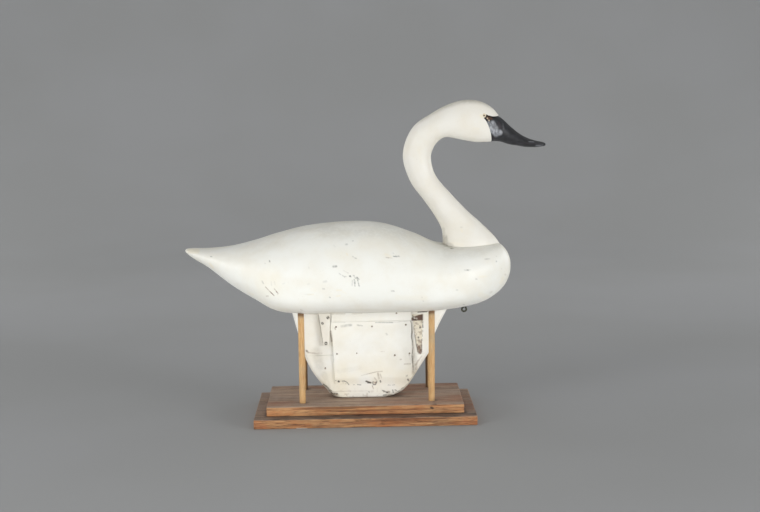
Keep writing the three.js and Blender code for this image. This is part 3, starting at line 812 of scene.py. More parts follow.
def body_piece():
    """Body: rings through its ribs, closer together where the marks are, pushed out by the unevenness that
    a spokeshave and sandpaper leave, and in at each mark."""
    # Where most marks are: along the body, and as shares of the way round from the top
    marks_rear, marks_front, marks_top, marks_foot = -245, 45, 0.12, 0.42
    # Steps in millimetres there, and elsewhere along and round the body
    fine_step, step_along, step_round = 1.3, 2.3, 3.0
    fine = even_places(body_form, 0.0, len(body_ribs) - 1, 4000)[1:-1]
    upper, lower = body_form.at(fine)[:2]
    middle = (upper + lower)[:, 0] / 2
    marked_part = (middle > marks_rear) & (middle < marks_front)
    places = crowded(fine, np.where(marked_part, 1 / fine_step, 1 / step_along), 400)
    turns = np.linspace(0, 0.5, 2000)
    marked_part = (turns > marks_top) & (turns < marks_foot)
    near = crowded(turns, np.where(marked_part, 1 / fine_step, 1 / step_round), 191)[:-1]
    far = np.linspace(0.5, 1, 56, endpoint=False)
    grid = body_form.ring(places, np.concatenate([near, far]))
    normal = normals_of(grid)
    seen, turned = seen_at(grid), facing_camera(grid, normal)
    chips = np.clip(1 + 0.5 * ripple(grid, 2.6, 6), 0, 1.3)
    grey, brown = marked(seen, body_grey) * turned * chips, marked(seen, body_brown) * turned * chips
    warm = marked(seen, body_warm) * turned + 0.2 * smooth_step(0.1, 0.7, ripple(grid, 60, 3))
    # Scuffs on the far side, fewer and in other places
    scuff_shift, far_scuffs = [-42, 0, -14], body_grey[:33]
    mirrored = seen_at(grid * [1, -1, 1] + scuff_shift)
    away = smooth_step(0.0, mark_fade, normal[..., 1])
    grey = grey + 0.8 * marked(mirrored, far_scuffs) * away * chips
    # Dust on the back, less of it towards the tail
    top = smooth_step(0.65, 1.0, normal[..., 2]) * smooth_step(-290, -160, grid[..., 0])
    grime = top * (0.12 + 0.12 * smooth_step(-0.3, 0.7, ripple(grid, 35, 5)))
    # Dirt and painted shade behind and under the neck
    grime = np.maximum(grime, marked(seen, corner_dirt_and_painted_shade) * turned)
    mark_depth = 0.3
    lift = 0.45 * ripple(grid, 75, 1) + 0.14 * ripple(grid, 24, 2) + 0.05 * ripple(grid, 8, 4)
    start, end = grid[0].mean(axis=0), grid[-1].mean(axis=0)
    grid = grid + normal * (lift - mark_depth * np.maximum(grey, brown))[..., None]
    return ringed_piece(
        "carved_body", grid, body_paint, "swan_paint", ["body"], (start, end),
        grey=grey, brown=brown, warm=warm, grime=grime,
    )


body_piece()


# Head, neck and bill
def side_curve(points, shares):
    """Points at shares of the length of the smooth curve through some points of the side view."""
    dense = row_at(points, np.linspace(0, len(points) - 1, 1500))
    way = length_along(dense)
    return np.stack([np.interp(shares * way[-1], way, dense[:, axis]) for axis in range(2)], axis=-1)


def patch(left, right, top, bottom, across):
    """A patch of the side view between four curves: both pairs of opposite curves, each blended across, less
    the blended corners (a Coons patch). Across is the share from left to right, half_turns that from top to
    bottom."""
    t = across[:, None, None]
    f = half_turns[None, :, None]
    corners = (1 - f) * ((1 - t) * left[0] + t * right[0]) + f * ((1 - t) * left[-1] + t * right[-1])
    return (1 - t) * left[None] + t * right[None] + (1 - f) * top[:, None] + f * bottom[:, None] - corners


head_half_sides = 110
# Shares from the top to the bottom of a rib, closer together at both ends, where the rib turns round
half_turns = (1 - np.cos(np.linspace(0, np.pi, head_half_sides))) / 2


def whole_rings(side_view, half):
    """Rings from half of each: down the near side from the top, and up the far side."""
    near = np.stack([side_view[..., 0], -half, side_view[..., 1]], axis=-1)
    far = np.stack([side_view[..., 0], half, side_view[..., 1]], axis=-1)
    return np.concatenate([near, far[:, -2:0:-1]], axis=1)


def straight_half(form, places):
    """Half rings of straight ribs, at places that may differ from side to side."""
    upper, lower = form.at(places)[:2]
    height = 1 - np.broadcast_to(half_turns, upper.shape[:-1])
    return lower + (upper - lower) * height[..., None], form.half_width(places, height)


def seat_places():
    """Where each line down the neck meets the body: the rib's place is found by halving."""
    low, high = np.zeros(head_half_sides), np.full(head_half_sides, 3.2)
    for _ in range(30):
        middle = (low + high) / 2
        side_view, half = straight_half(neck_form, middle)
        inside = side_view[:, 1] < body_height(side_view[:, 0], half, True) + clearance
        low, high = np.where(inside, middle, low), np.where(inside, high, middle)
    return high


# Marks on the neck: dirt and painted shade in the corner behind it, and faint stains
neck_dirt_and_painted_shade = [
    [443.4, 229.0, 444.4, 237.0, 2.2, 0.2],
    [444.8, 237.0, 445.6, 244.0, 3.4, 0.4],
    [447.0, 243.0, 452.0, 246.0, 2.6, 0.25],
    [460.8, 227.2, 462.0, 227.2, 0.9, 0.22],
]
neck_warm = [
    [461.2, 229.5, 462.0, 231.5, 1.4, 0.25],
    [452.0, 243.5, 462.0, 245.0, 2.6, 0.15],
    [480.8, 115.4, 482.0, 117.2, 1.5, 0.55],
    [474.0, 128.4, 478.4, 128.8, 1.6, 0.14],
    [418.5, 150.0, 421.0, 162.0, 2.0, 0.08],
]
# Chips and bare wood beside the eye, then rubs with a painted sheen, creases and the mouth line of the bill
eye_dark = [
    [486.5, 114.9, 488.7, 116.1, 0.55, 0.9],
    [488.7, 116.1, 491.4, 116.8, 0.6, 0.9],
    [484.2, 118.1, 486.0, 119.9, 0.5, 0.85],
    [486.0, 119.9, 488.2, 121.3, 0.55, 0.85],
    [486.4, 117.0, 486.6, 117.8, 0.4, 0.5],
]
lore_tan = [
    [487.1, 118.1, 487.5, 118.5, 0.85, 0.9],
    [488.9, 120.2, 489.2, 120.5, 0.8, 0.75],
]
lore_brown = [[488.9, 116.9, 491.4, 118.8, 1.4, 0.75], [487.6, 116.4, 489.4, 118.6, 1.2, 0.6]]
rubbed_and_painted_sheen_drop = [
    [492.8, 122.4, 495.2, 129.4, 1.9, 0.7],
    [488.0, 121.6, 490.6, 127.0, 2.0, 0.5],
    [490.4, 125.8, 492.6, 131.0, 2.9, 0.9],
    [492.6, 122.8, 496.0, 128.6, 3.0, 0.4],
    [493.4, 130.6, 495.8, 133.8, 3.6, 0.95],
    [496.0, 131.4, 499.2, 132.6, 3.5, 0.8],
    [502.7, 124.2, 503.4, 129.0, 1.2, 0.08],
    [529.0, 141.7, 533.8, 142.1, 0.55, 0.4],
    [536.0, 145.5, 542.5, 145.4, 0.8, 0.25],
]
bill_crease = [[498.8, 122.8, 500.4, 127.4, 1.8, 0.8], [493.2, 137.0, 494.4, 139.4, 1.5, 0.8]]
mouth_line = [[509.0, 141.0, 520.0, 142.8, 0.5, 0.4], [520.0, 142.8, 541.4, 144.2, 0.55, 0.9]]


def on_both_sides(grid, normal, marks):
    """Marks on the side that the camera sees, and mirrored on the other."""
    near = marked(seen_at(grid), marks) * facing_camera(grid, normal)
    far = marked(seen_at(grid * [1, -1, 1]), marks) * smooth_step(0.0, mark_fade, normal[..., 1])
    return np.maximum(near, far)


def face_and_bill(neck_side):
    """Half rings from the crown to where the bill's ribs are straight. Two patches meet at the face's edge,
    where short rows of the step lead in to the root of the bill."""
    edge_points = np.array([neck_forward, neck_seat]) + np.array(face_edge) * neck_height
    edge = side_curve(edge_points, half_turns)
    across = 1 - (1 - np.linspace(0, 1, 76)[1:]) ** 1.25
    jaw = np.linspace(crown_rib, face_rib, 400)
    chin = np.interp(edge_points[-1, 0], neck_form.at(jaw)[1][:, 0], jaw)
    top = neck_form.at(crown_rib + (forehead_rib - crown_rib) * across)[0]
    bottom = neck_form.at(crown_rib + (chin - crown_rib) * across)[1]
    edge[0], edge[-1] = top[-1], bottom[-1]
    face_side = patch(neck_side[-1], edge, top, bottom, across)
    face_half = neck_form.half_width_at(face_side, crown_rib - 2, face_rib)
    # Step from the face's edge in to the root of the bill: millimetres forward at its top and foot, and in
    step_top, step_foot, step_least = 0.6, 0.4, 0.25
    places = np.linspace(0, straight_bill_rib, 900)
    top_place = np.interp(edge[0, 0] + step_top, bill_form.at(places)[0][:, 0], places)
    foot_place = np.interp(edge[-1, 0] + step_foot, bill_form.at(places)[1][:, 0], places)
    pull_top = bill_form.at(np.array([top_place]))[0][0] - edge[0]
    pull_foot = bill_form.at(np.array([foot_place]))[1][0] - edge[-1]
    near_top, near_foot = smooth_step(0.16, 0.0, half_turns), smooth_step(0.86, 1.0, half_turns)
    root = edge + pull_top * near_top[:, None] + pull_foot * near_foot[:, None]
    root_half = np.minimum(bill_form.half_width_at(root, 0, 5), face_half[-1] - step_least)
    root_half = np.maximum(root_half, 0)
    down = np.array([0.1, 0.35, 0.65, 0.9, 1.0])[:, None]
    inwards = np.array([0.04, 0.3, 0.72, 0.96, 1.0])[:, None]
    step_side = edge[None] * (1 - down[..., None]) + root[None] * down[..., None]
    step_half = face_half[-1][None] * (1 - inwards) + root_half[None] * inwards
    # Bill, from its root to where its ribs are straight
    out = np.linspace(0, 1, 70)[1:] ** 1.1
    straight = straight_half(bill_form, np.full((1, head_half_sides), straight_bill_rib))[0]
    bill_top = bill_form.at(top_place + (straight_bill_rib - top_place) * out)[0]
    bill_foot = bill_form.at(foot_place + (straight_bill_rib - foot_place) * out)[1]
    bill_side = patch(root, straight[0], bill_top, bill_foot, out)
    bill_half = bill_form.half_width_at(bill_side, 0, 6)
    # Rings up to the tip, with three more close behind it
    tip_places = even_places(bill_form, straight_bill_rib, bill_tip_rib, 74)[1:-1]
    tip_places = np.concatenate([tip_places, [9.75, 9.9, 9.97]])
    tip = straight_half(bill_form, np.repeat(tip_places[:, None], head_half_sides, axis=1))
    return [(face_side, face_half), (step_side, step_half), (bill_side, bill_half), tip]


def head_piece():
    """Neck, head and bill as one run of rings. The neck's ribs are straight. In front of the crown the
    rings bend until one of them lies on the face's edge, where the carved step goes in to the bill."""
    dense = np.linspace(0, crown_rib, 1500)
    upper, lower = neck_form.at(dense)[:2]
    way = length_along((upper + lower) / 2)
    start = np.interp(seat_places(), dense, way)
    along = start[None] + (way[-1] - start)[None] * np.linspace(0, 1, 190)[:, None] ** 1.08
    neck_side, neck_half = straight_half(neck_form, np.interp(along, way, dense))
    stretches = [(neck_side, neck_half), *face_and_bill(neck_side)]
    grid = np.concatenate([whole_rings(*stretch) for stretch in stretches])
    before_step = len(neck_side) + len(stretches[1][0])
    bill = np.zeros(grid.shape[:2])
    bill[before_step + 1 :] = 1
    normal = normals_of(grid)
    near = facing_camera(grid, normal)
    seen = seen_at(grid)
    rubbed = on_both_sides(grid, normal, rubbed_and_painted_sheen_drop) * bill
    mouth = on_both_sides(grid, normal, mouth_line) * bill
    crease = on_both_sides(grid, normal, bill_crease) * bill
    # Dirt and painted shade behind the neck, and dust on what faces up
    grime = np.maximum(marked(seen, neck_dirt_and_painted_shade) * near, 0.5 * smooth_step(0.6, 1.0, normal[..., 2]))
    grime = grime * (1 - bill)
    lift = 0.3 * ripple(grid, 45, 11) + 0.1 * ripple(grid, 14, 12)
    lift = lift * smooth_step(0, 12, np.arange(len(grid)))[:, None] * (1 - 0.6 * bill)
    # The grey drop at the bill's root, rubbed paint with a painted sheen, stands a little proud, and creases
    # and the mouth line are cut in
    lift = lift + 0.8 * rubbed - 0.4 * crease - 0.6 * mouth
    grid = grid + normal * lift[..., None]
    paints = dict(
        bill=bill, rubbed=rubbed, crease=np.maximum(crease, mouth), grime=grime,
        tan=on_both_sides(grid, normal, lore_tan), lore=on_both_sides(grid, normal, lore_brown) * bill,
        dark=on_both_sides(grid, normal, eye_dark), warm=marked(seen, neck_warm) * near,
    )
    # Rings across the neck's foot that follow the body's top, a gap above it
    shares = np.array([0.2, 0.5, 0.75, 0.9, 0.97])[:, None, None]
    cap = grid[:1].mean(axis=1, keepdims=True) * (1 - shares) + grid[:1] * shares
    cap[..., 2] = body_height(cap[..., 0], cap[..., 1], True) + clearance
    paints = {
        name: np.concatenate([np.repeat(shown[:1], len(cap), axis=0), shown])
        for name, shown in paints.items()
    }
    return ringed_piece(
        "carved_neck_head_and_bill", np.concatenate([cap, grid]), head_paint, "swan_paint",
        ["head_and_neck"], **paints,
    )


head_piece()


# Keel
def keel_rear(z):
    """Rear outline of the keel: a rounded foot, a bowed line up to the seam, then a straight one."""
    rounded = rounded_foot(z, *keel_round_rear)
    high, along = keel_round_rear[3], keel_round_rear[2]
    s = np.clip((z - high) / (keel_seam - high), 0, 1)
    bowed = along + (keel_seam_rear - along) * s - 4 * keel_rear_bow * s * (1 - s)
    t = (z - keel_seam) / (body_underside - keel_seam)
    straight = keel_seam_rear + (keel_top_rear - keel_seam_rear) * t
    return np.where(z < high, rounded, np.where(z < keel_seam, bowed, straight))


def keel_front(z):
    """Front outline of the keel: a rounded foot, a straight line up to the seam, then a hollow one."""
    rounded = rounded_foot(z, *keel_round_front)
    high, along = keel_round_front[3], keel_round_front[2]
    s = np.clip((z - high) / (keel_seam - high), 0, 1)
    straight = along + (keel_seam_front - along) * s
    t = (z - keel_seam) / (body_underside - keel_seam)
    hollow = keel_seam_front + (keel_top_front - keel_seam_front) * t - 4 * keel_front_hollow * t * (1 - t)
    return np.where(z < high, rounded, np.where(z < keel_seam, straight, hollow))


def rounded_foot(z, start, corner, end, high):
    """Outline over a corner at the keel's foot: a parabola from the foot to the edge, pulled to the corner.
    Its share t grows with the square root of the height."""
    t = np.sqrt(np.clip((z - keel_foot) / (high - keel_foot), 0, 1))
    return start * (1 - t) ** 2 + 2 * corner * t * (1 - t) + end * t**2


# Marks on the keel, in the photograph's pixels, as on the body. Dark ones are open chips and cracks, and
# painted shadow lines under the body, along the tail strap's rear edge and along the near panel's front edge
keel_chips_and_painted_shadows = [
    [323.6, 384.2, 331.4, 391.2, 0.45, 0.8],
    [323.0, 385.6, 329.4, 391.2, 0.35, 0.5],
    [338.5, 381.5, 338.9, 381.7, 1.15, 0.95],
    [335.7, 380.6, 336.0, 380.9, 0.6, 0.6],
    [342.0, 381.3, 344.4, 381.1, 0.5, 0.7],
    [344.4, 381.1, 347.0, 382.4, 0.5, 0.8],
    [347.0, 382.4, 348.9, 384.9, 0.5, 0.75],
    [366.0, 381.2, 368.6, 382.0, 0.8, 0.9],
    [367.6, 382.6, 370.8, 382.9, 0.9, 0.95],
    [372.7, 382.0, 373.2, 384.4, 0.6, 0.75],
    [373.2, 384.6, 375.6, 384.6, 0.6, 0.9],
    [375.8, 384.0, 376.7, 381.8, 0.6, 0.8],
    [380.2, 380.8, 380.6, 382.0, 0.85, 0.85],
    [353.4, 384.8, 354.4, 384.8, 0.5, 0.4],
    [357.4, 384.7, 360.8, 384.9, 0.5, 0.6],
    [388.0, 385.0, 390.4, 385.2, 0.45, 0.45],
    [392.2, 385.2, 394.6, 384.8, 0.45, 0.4],
    [382.6, 390.7, 385.2, 391.6, 0.7, 0.8],
    [386.0, 392.0, 387.6, 392.6, 0.75, 0.9],
    [388.4, 391.2, 389.6, 392.4, 0.5, 0.5],
    [392.6, 390.0, 393.4, 392.8, 0.6, 0.65],
    [395.0, 389.8, 396.6, 390.8, 0.6, 0.6],
    [383.4, 395.2, 386.4, 395.1, 0.7, 0.85],
    [388.4, 395.4, 390.6, 394.8, 0.6, 0.6],
    [397.6, 391.6, 399.4, 390.6, 0.55, 0.5],
    [401.2, 389.2, 403.4, 387.6, 0.55, 0.45],
    [331.0, 392.8, 333.2, 394.2, 0.7, 0.85],
    [333.6, 393.8, 337.2, 393.5, 0.6, 0.75],
    [334.0, 395.4, 337.0, 395.0, 0.5, 0.5],
    [368.6, 391.8, 369.4, 392.2, 0.6, 0.45],
    [406.2, 376.2, 407.4, 375.4, 0.5, 0.45],
    [407.8, 379.2, 408.4, 380.6, 0.8, 0.85],
    [320.4, 384.6, 326.4, 391.2, 0.45, 0.5],
    [326.4, 391.2, 330.8, 394.4, 0.5, 0.7],
    [306.3, 350.4, 306.9, 351.6, 0.8, 0.6],
    # Painted shadow under the body's edge
    [409.0, 311.5, 417.0, 311.3, 0.5, 0.5],
    [418.0, 312.0, 427.2, 311.5, 0.7, 0.95],
    # Painted shadow along the tail strap's rear edge
    [318.4, 315.0, 320.5, 328.0, 0.45, 0.45],
    [320.5, 328.0, 322.9, 343.0, 0.45, 0.35],
    [323.0, 384.0, 326.8, 388.8, 0.5, 0.6],
    [326.8, 388.8, 332.0, 393.2, 0.6, 0.75],
    [326.2, 385.6, 329.8, 389.4, 0.4, 0.45],
    # Painted shadow along the near panel's front edge
    [410.3, 320.8, 411.6, 323.2, 0.5, 0.5],
    [411.6, 323.2, 411.9, 331.6, 0.55, 0.6],
    [411.9, 331.6, 411.5, 336.4, 0.6, 0.75],
    [411.5, 336.4, 412.5, 342.1, 0.55, 0.75],
    [412.5, 342.1, 412.9, 347.8, 0.5, 0.5],
    [412.9, 347.8, 412.0, 355.0, 0.5, 0.6],
    [412.0, 355.0, 412.4, 362.6, 0.55, 0.8],
    [412.4, 362.6, 413.2, 367.0, 0.45, 0.45],
    [413.2, 367.0, 413.0, 374.6, 0.45, 0.3],
]
# Brown ones are stains from the wood and rust, and soft painted shade along the top, under the body
keel_stains_and_painted_shade = [
    [361.2, 375.6, 369.0, 373.6, 0.5, 0.3],
    [369.0, 373.6, 376.6, 371.8, 0.55, 0.45],
    [376.6, 371.8, 382.4, 371.3, 0.6, 0.4],
    [378.0, 373.4, 379.0, 378.6, 1.2, 0.4],
    [380.2, 374.0, 381.4, 378.0, 0.7, 0.35],
    [374.6, 378.0, 376.8, 380.8, 0.9, 0.3],
    [372.2, 385.6, 373.3, 388.4, 0.6, 0.6],
    [372.6, 383.2, 375.8, 382.2, 1.0, 0.5],
    [404.2, 364.0, 411.0, 363.8, 0.55, 0.4],
    [400.0, 359.5, 401.4, 359.4, 0.8, 0.3],
    [381.0, 351.6, 384.4, 351.6, 0.5, 0.25],
    [308.0, 352.6, 316.0, 353.4, 0.8, 0.35],
    [316.0, 353.4, 322.0, 353.2, 0.7, 0.22],
    [306.6, 350.8, 308.4, 352.6, 1.1, 0.5],
    [331.8, 338.0, 332.2, 346.0, 0.6, 0.35],
    [416.0, 365.0, 418.4, 360.6, 1.2, 0.45],
    [415.6, 369.0, 416.6, 366.6, 1.0, 0.35],
    [418.4, 361.0, 421.6, 356.0, 0.9, 0.3],
    # Painted shade along the top, under the body
    [332.0, 313.9, 345.0, 313.7, 0.8, 0.22],
    [352.0, 313.8, 362.0, 313.3, 0.7, 0.2],
    [380.0, 311.4, 406.0, 310.6, 0.5, 0.12],
    [334.8, 327.9, 335.4, 329.4, 0.9, 0.35],
    # Painted shade along the top, under the body
    [304.6, 313.6, 318.0, 313.9, 0.7, 0.3],
    [409.2, 355.0, 409.8, 358.6, 1.3, 0.14],
    [325.0, 368.2, 325.4, 368.8, 0.9, 0.4],
    [332.0, 391.6, 347.0, 391.2, 0.45, 0.3],
    [347.0, 391.2, 372.0, 390.9, 0.4, 0.25],
]
# Grey ones are rubs, and painted shadow lines under the near rail and beside the near panel's rear edge;
# keel_grime marks are dirt, and bare ones are flaked off down to the wood
keel_rubs_and_painted_shadows = [
    [341.6, 326.2, 347.0, 325.6, 1.6, 0.28],
    [345.6, 325.4, 351.0, 325.0, 1.6, 0.38],
    [357.4, 325.0, 359.4, 325.6, 0.9, 0.35],
    [360.6, 325.4, 362.4, 325.8, 0.8, 0.3],
    [386.2, 333.6, 387.0, 334.6, 1.0, 0.25],
    # Painted shadow lines under the near rail and beside the near panel's rear edge
    [375.6, 322.6, 393.0, 322.5, 0.5, 0.55],
    [333.0, 322.5, 345.0, 322.5, 0.5, 0.2],
    [393.0, 322.4, 410.0, 320.8, 0.4, 0.25],
    [332.6, 346.0, 333.6, 362.0, 0.5, 0.2],
]
keel_grime = [
    [316.0, 352.0, 319.5, 366.0, 6.0, 0.16],
    [324.0, 374.0, 328.0, 386.0, 3.6, 0.14],
    [406.0, 351.0, 409.0, 362.0, 4.6, 0.08],
    [414.8, 357.0, 415.6, 372.0, 2.6, 0.25],
    [330.0, 391.0, 338.0, 395.0, 2.0, 0.35],
    [386.0, 394.6, 400.0, 392.4, 1.8, 0.25],
    [339.0, 371.0, 360.0, 368.0, 3.0, 0.06],
]
keel_bare = [
    [366.6, 381.6, 370.6, 382.8, 1.2, 0.7],
    [373.6, 382.2, 375.4, 383.8, 1.1, 0.75],
    [343.0, 382.6, 347.0, 384.4, 0.9, 0.25],
    [384.2, 391.8, 389.4, 392.0, 1.2, 0.55],
    [331.6, 393.6, 337.0, 394.6, 1.3, 0.7],
    [384.0, 395.6, 391.6, 395.0, 0.9, 0.6],
    [406.4, 375.8, 407.4, 375.6, 0.9, 0.5],
]
# Brown wood at the foot of the lost strap's seat, and a brown streak at the panel's rear edge
keel_stain = [
    [417.2, 344.6, 417.8, 349.6, 1.1, 0.55],
    [418.8, 347.0, 420.2, 352.6, 1.9, 0.85],
    [421.2, 340.0, 421.4, 352.0, 0.9, 0.7],
    [418.6, 338.6, 419.2, 344.0, 1.0, 0.3],
    [330.8, 331.4, 331.8, 341.0, 1.1, 0.5],
]
# Nail holes in the seat of the lost strap, specks, and the broken dark line down each of its edges
lost_strap_dark = [
    [420.0, 327.3, 420.3, 327.8, 0.95, 0.95],
    [418.3, 337.3, 418.6, 337.7, 0.9, 0.9],
    [419.2, 340.2, 419.6, 340.6, 0.5, 0.6],
    [422.8, 321.4, 422.8, 323.4, 0.5, 0.7],
    [422.6, 324.6, 422.9, 327.6, 0.6, 0.8],
    [422.8, 330.0, 422.8, 331.8, 0.4, 0.5],
    [422.4, 334.6, 422.4, 336.4, 0.4, 0.5],
    [422.2, 339.0, 422.0, 341.0, 0.45, 0.55],
    [421.8, 344.6, 421.6, 352.0, 0.5, 0.6],
    [413.2, 326.8, 414.4, 334.0, 0.45, 0.4],
    [414.4, 334.0, 416.3, 345.0, 0.5, 0.65],
    [416.4, 345.0, 418.4, 353.2, 0.55, 0.7],
    [419.6, 347.0, 420.6, 351.4, 0.9, 0.3],
    [412.7, 315.4, 413.2, 319.0, 0.5, 0.85],
    [413.4, 317.0, 415.8, 316.6, 0.5, 0.75],
    [413.4, 319.8, 416.6, 320.4, 0.5, 0.85],
    [416.0, 316.2, 418.8, 315.3, 0.45, 0.6],
    [415.4, 323.4, 415.7, 323.8, 0.5, 0.35],
    [418.4, 331.6, 418.6, 331.8, 0.45, 0.4],
    [416.6, 328.2, 416.8, 328.4, 0.4, 0.35],
]
# The notch's left part has kept paint round a bare spot
notch_pale = [[414.0, 318.0, 414.8, 318.7, 0.85, 1.0], [416.4, 318.6, 416.9, 319.3, 0.75, 0.8]]

# Nails and screws: [along, height, radius] in millimetres
panel_nails = [
    [-57.4, 188.8, 1.7], [16.6, 188.4, 1.5], [86.3, 190.7, 1.8], [-56.5, 132.2, 1.6], [-15.8, 132.9, 1.4],
    [62.7, 127.2, 1.9], [93.1, 130.4, 1.8],
]
board_nails = [[-81.2, 102.2, 1.5]]
rail_nails = [[67.5, 215.4, 1.7]]
strap_screws = [[-73.5, 208.9, 3.0], [-85.0, 197.3, 2.6], [-78.7, 155.3, 3.4]]
far_strap_screws = [[113.0, 208.0, 3.0], [112.0, 176.0, 3.0], [113.5, 141.0, 3.0]]


def spots(grid, places, spread):
    """1 at each nail or screw, falling to 0 at its radius and a spread."""
    total = np.zeros(grid.shape[:2])
    for along, height, radius in places:
        away = np.hypot(grid[..., 0] - along, grid[..., 2] - height)
        total = np.maximum(total, smooth_step(1.0, 0.3, away / (radius + spread)))
    return total * (np.abs(normals_of(grid)[..., 1]) > 0.5)


def keel_wear(grid, normal, nails, share=1.0):
    """Paints and lift of a painted piece of the keel: the marks that the photograph shows on the near side,
    a stain round each nail, yellowing and dirt towards the foot, and a share of the paint flaked off the
    lower edges."""
    y, z = grid[..., 1], grid[..., 2]
    seen, turned = seen_at(grid), facing_camera(grid, normal) * (y < 0)
    fine, broad = ripple(grid, 2.2, 21), ripple(grid, 22, 22)
    broken = np.clip(1 + 0.25 * fine, 0, 1.2)
    # Dark, brown and grey marks hold painted shadow lines and shade as well as chips, stains and rubs
    dark, brown, grey, grime = (
        marked(seen, marks) * turned * broken for marks in (keel_chips_and_painted_shadows, keel_stains_and_painted_shade, keel_rubs_and_painted_shadows, keel_grime)
    )
    bare = marked(seen, keel_bare) * turned * smooth_step(-0.5, 0.3, fine)
    warm = 0.45 * smooth_step(150, 70, z) * smooth_step(-0.5, 0.6, ripple(grid, 26, 29))
    brown = brown + 0.2 * spots(grid, nails, 2.4) * np.clip(0.6 + ripple(grid, 5, 23), 0, 1.4)
    stain = marked(seen, keel_stain) * turned * np.clip(1 + 0.5 * fine, 0, 1.2)
    foot = smooth_step(keel_foot + 24, keel_foot + 2, z)
    edge = smooth_step(0.97, 0.75, np.abs(normal[..., 1]))
    loose = ripple(grid, 4.2, 24) + 0.35 * ripple(grid, 11, 25)
    flake = foot * (0.35 + 0.65 * edge) * smooth_step(0.4, 0.75, loose)
    grime = grime + 0.12 * foot * smooth_step(-0.1, 0.8, broad)
    grime = grime + 0.04 * smooth_step(0, 0.8, ripple(grid, 30, 26))
    bare = np.maximum(bare, 0.6 * flake * share)
    chip_depth, stain_depth = 0.7, 0.15
    lift = 0.16 * ripple(grid, 30, 27) + 0.07 * ripple(grid, 7, 28)
    lift = lift - chip_depth * np.maximum(dark, 0.7 * bare) - stain_depth * brown
    return dict(dark=dark, brown=brown, grey=grey, grime=grime, bare=bare, stain=stain, warm=warm), lift


def stretch_to_body(grid, foot, top):
    """Heights above a foot stretched so that a level top follows the body's underside, a gap below it.
    Gives how far it is from the foot up to there."""
    reach = body_height(grid[..., 0], grid[..., 1], False) - clearance - foot
    grid[..., 2] = foot + (grid[..., 2] - foot) * reach / (top - foot)
    return reach


def standing_piece(name, node, foot, top, outline, sides, edge, columns, rows, paint, wear, under_body=True):
    """A board that stands on edge: rounded rectangles stacked along Z. The outline is a function of height
    for its rear and for its front, and sides has its low and high face. The edge is a radius along and
    across, and how far the foot and the top are rounded. Columns are points along the near side, front,
    far side and rear and in each corner, and rows are heights. Under the body, the top follows it."""
    z, drawn = eased(rows, edge[2], edge[3], top - foot)
    z = foot + z
    rear, front = (line(z) for line in outline)
    low_side, high_side = (side(z) if callable(side) else np.full_like(z, side) for side in sides)
    low = np.stack([rear + drawn, low_side + drawn], axis=-1)
    high = np.stack([front - drawn, high_side - drawn], axis=-1)
    thin = (high_side - low_side) / 2 - drawn - 0.05
    radius = np.stack([np.full_like(z, edge[0]), np.minimum(edge[1], thin)], axis=-1)
    radius = np.maximum(radius - drawn[:, None] * 0.5, 0.2)
    flat = rectangles(low, high, radius, rounded_loop(*columns))
    height = np.broadcast_to(z[:, None, None], (*flat.shape[:2], 1))
    grid = with_end_rings(np.concatenate([flat, height], axis=-1))
    if under_body:
        stretch_to_body(grid, foot, top)
    normal = normals_of(grid)
    paints, lift = wear(grid, normal)
    return ringed_piece(name, grid + normal * lift[..., None], paint, "keel_paint", [node], **paints)


def upper_board_wear(grid, normal):
    """Wear with the lost strap's place on the near face: a shallow seat that narrows downwards, with
    mottled paint and bare wood, a band of paint above, and a deeper notch across its top."""
    paints, lift = keel_wear(grid, normal, [])
    x, y, z = np.moveaxis(grid, -1, 0)
    seen, turned = seen_at(grid), facing_camera(grid, normal)
    t = np.clip((body_underside - z) / breast_strap_length, 0, 1)
    inner, outer = (top + (foot - top) * t for top, foot in breast_strap_edges)
    # In millimetres: depths, heights of the seat's foot and of the band, and the notch's edges
    seat_depth, notch_depth, hole_depth = 1.2, 3.4, 1.0
    seat_foot, band_foot = 132, 211.5
    notch_rear, notch_front, notch_foot, notch_low_top, notch_rise = 98.6, 122, 197.7, 204, 5.8
    on_face = smooth_step(-keel_face + 2, -keel_face + 0.8, y)
    seat = smooth_step(inner - 0.7, inner + 0.7, x) * smooth_step(outer + 0.7, outer - 0.7, x)
    seat = seat * smooth_step(seat_foot - 1, seat_foot + 1, z) * on_face
    notch = smooth_step(notch_rear - 0.6, notch_rear + 0.6, x)
    notch = notch * smooth_step(notch_front + 0.6, notch_front - 0.6, x) * on_face
    notch = notch * smooth_step(notch_foot - 0.7, notch_foot + 0.7, z + 0.8 * ripple(grid, 5, 31))
    notch_top = notch_low_top + notch_rise * smooth_step(98, 118, x)
    notch = notch * smooth_step(0.7, -0.7, z - notch_top + 0.6 * ripple(grid, 4, 32))
    band = smooth_step(band_foot - 0.5, band_foot + 0.5, z)
    pale = marked(seen, notch_pale) * turned
    holes = marked(seen, lost_strap_dark) * turned
    mottle = smooth_step(0.0, 0.55, ripple(grid, 3.4, 33) + 0.5 * ripple(grid, 1.7, 34))
    seat_only = seat * (1 - band) * (1 - notch)
    paints["bare"] = np.maximum(paints["bare"], 0.3 * seat_only * mottle)
    paints["brown"] = np.maximum(paints["brown"], seat_only * (0.12 + 0.3 * mottle))
    paints["stain"] = np.maximum(paints["stain"], notch * (1 - pale))
    paints["dark"] = np.maximum(paints["dark"], np.maximum(holes, 0.25 * notch * (1 - pale)))
    paints["warm"] = np.maximum(paints["warm"], 0.5 * seat_only)
    return paints, lift - seat_depth * seat * (1 - 0.6 * band) - notch_depth * notch - hole_depth * holes


def lower_board_wear(grid, normal):
    """Wear with a stain round the lower board's nail."""
    return keel_wear(grid, normal, board_nails)


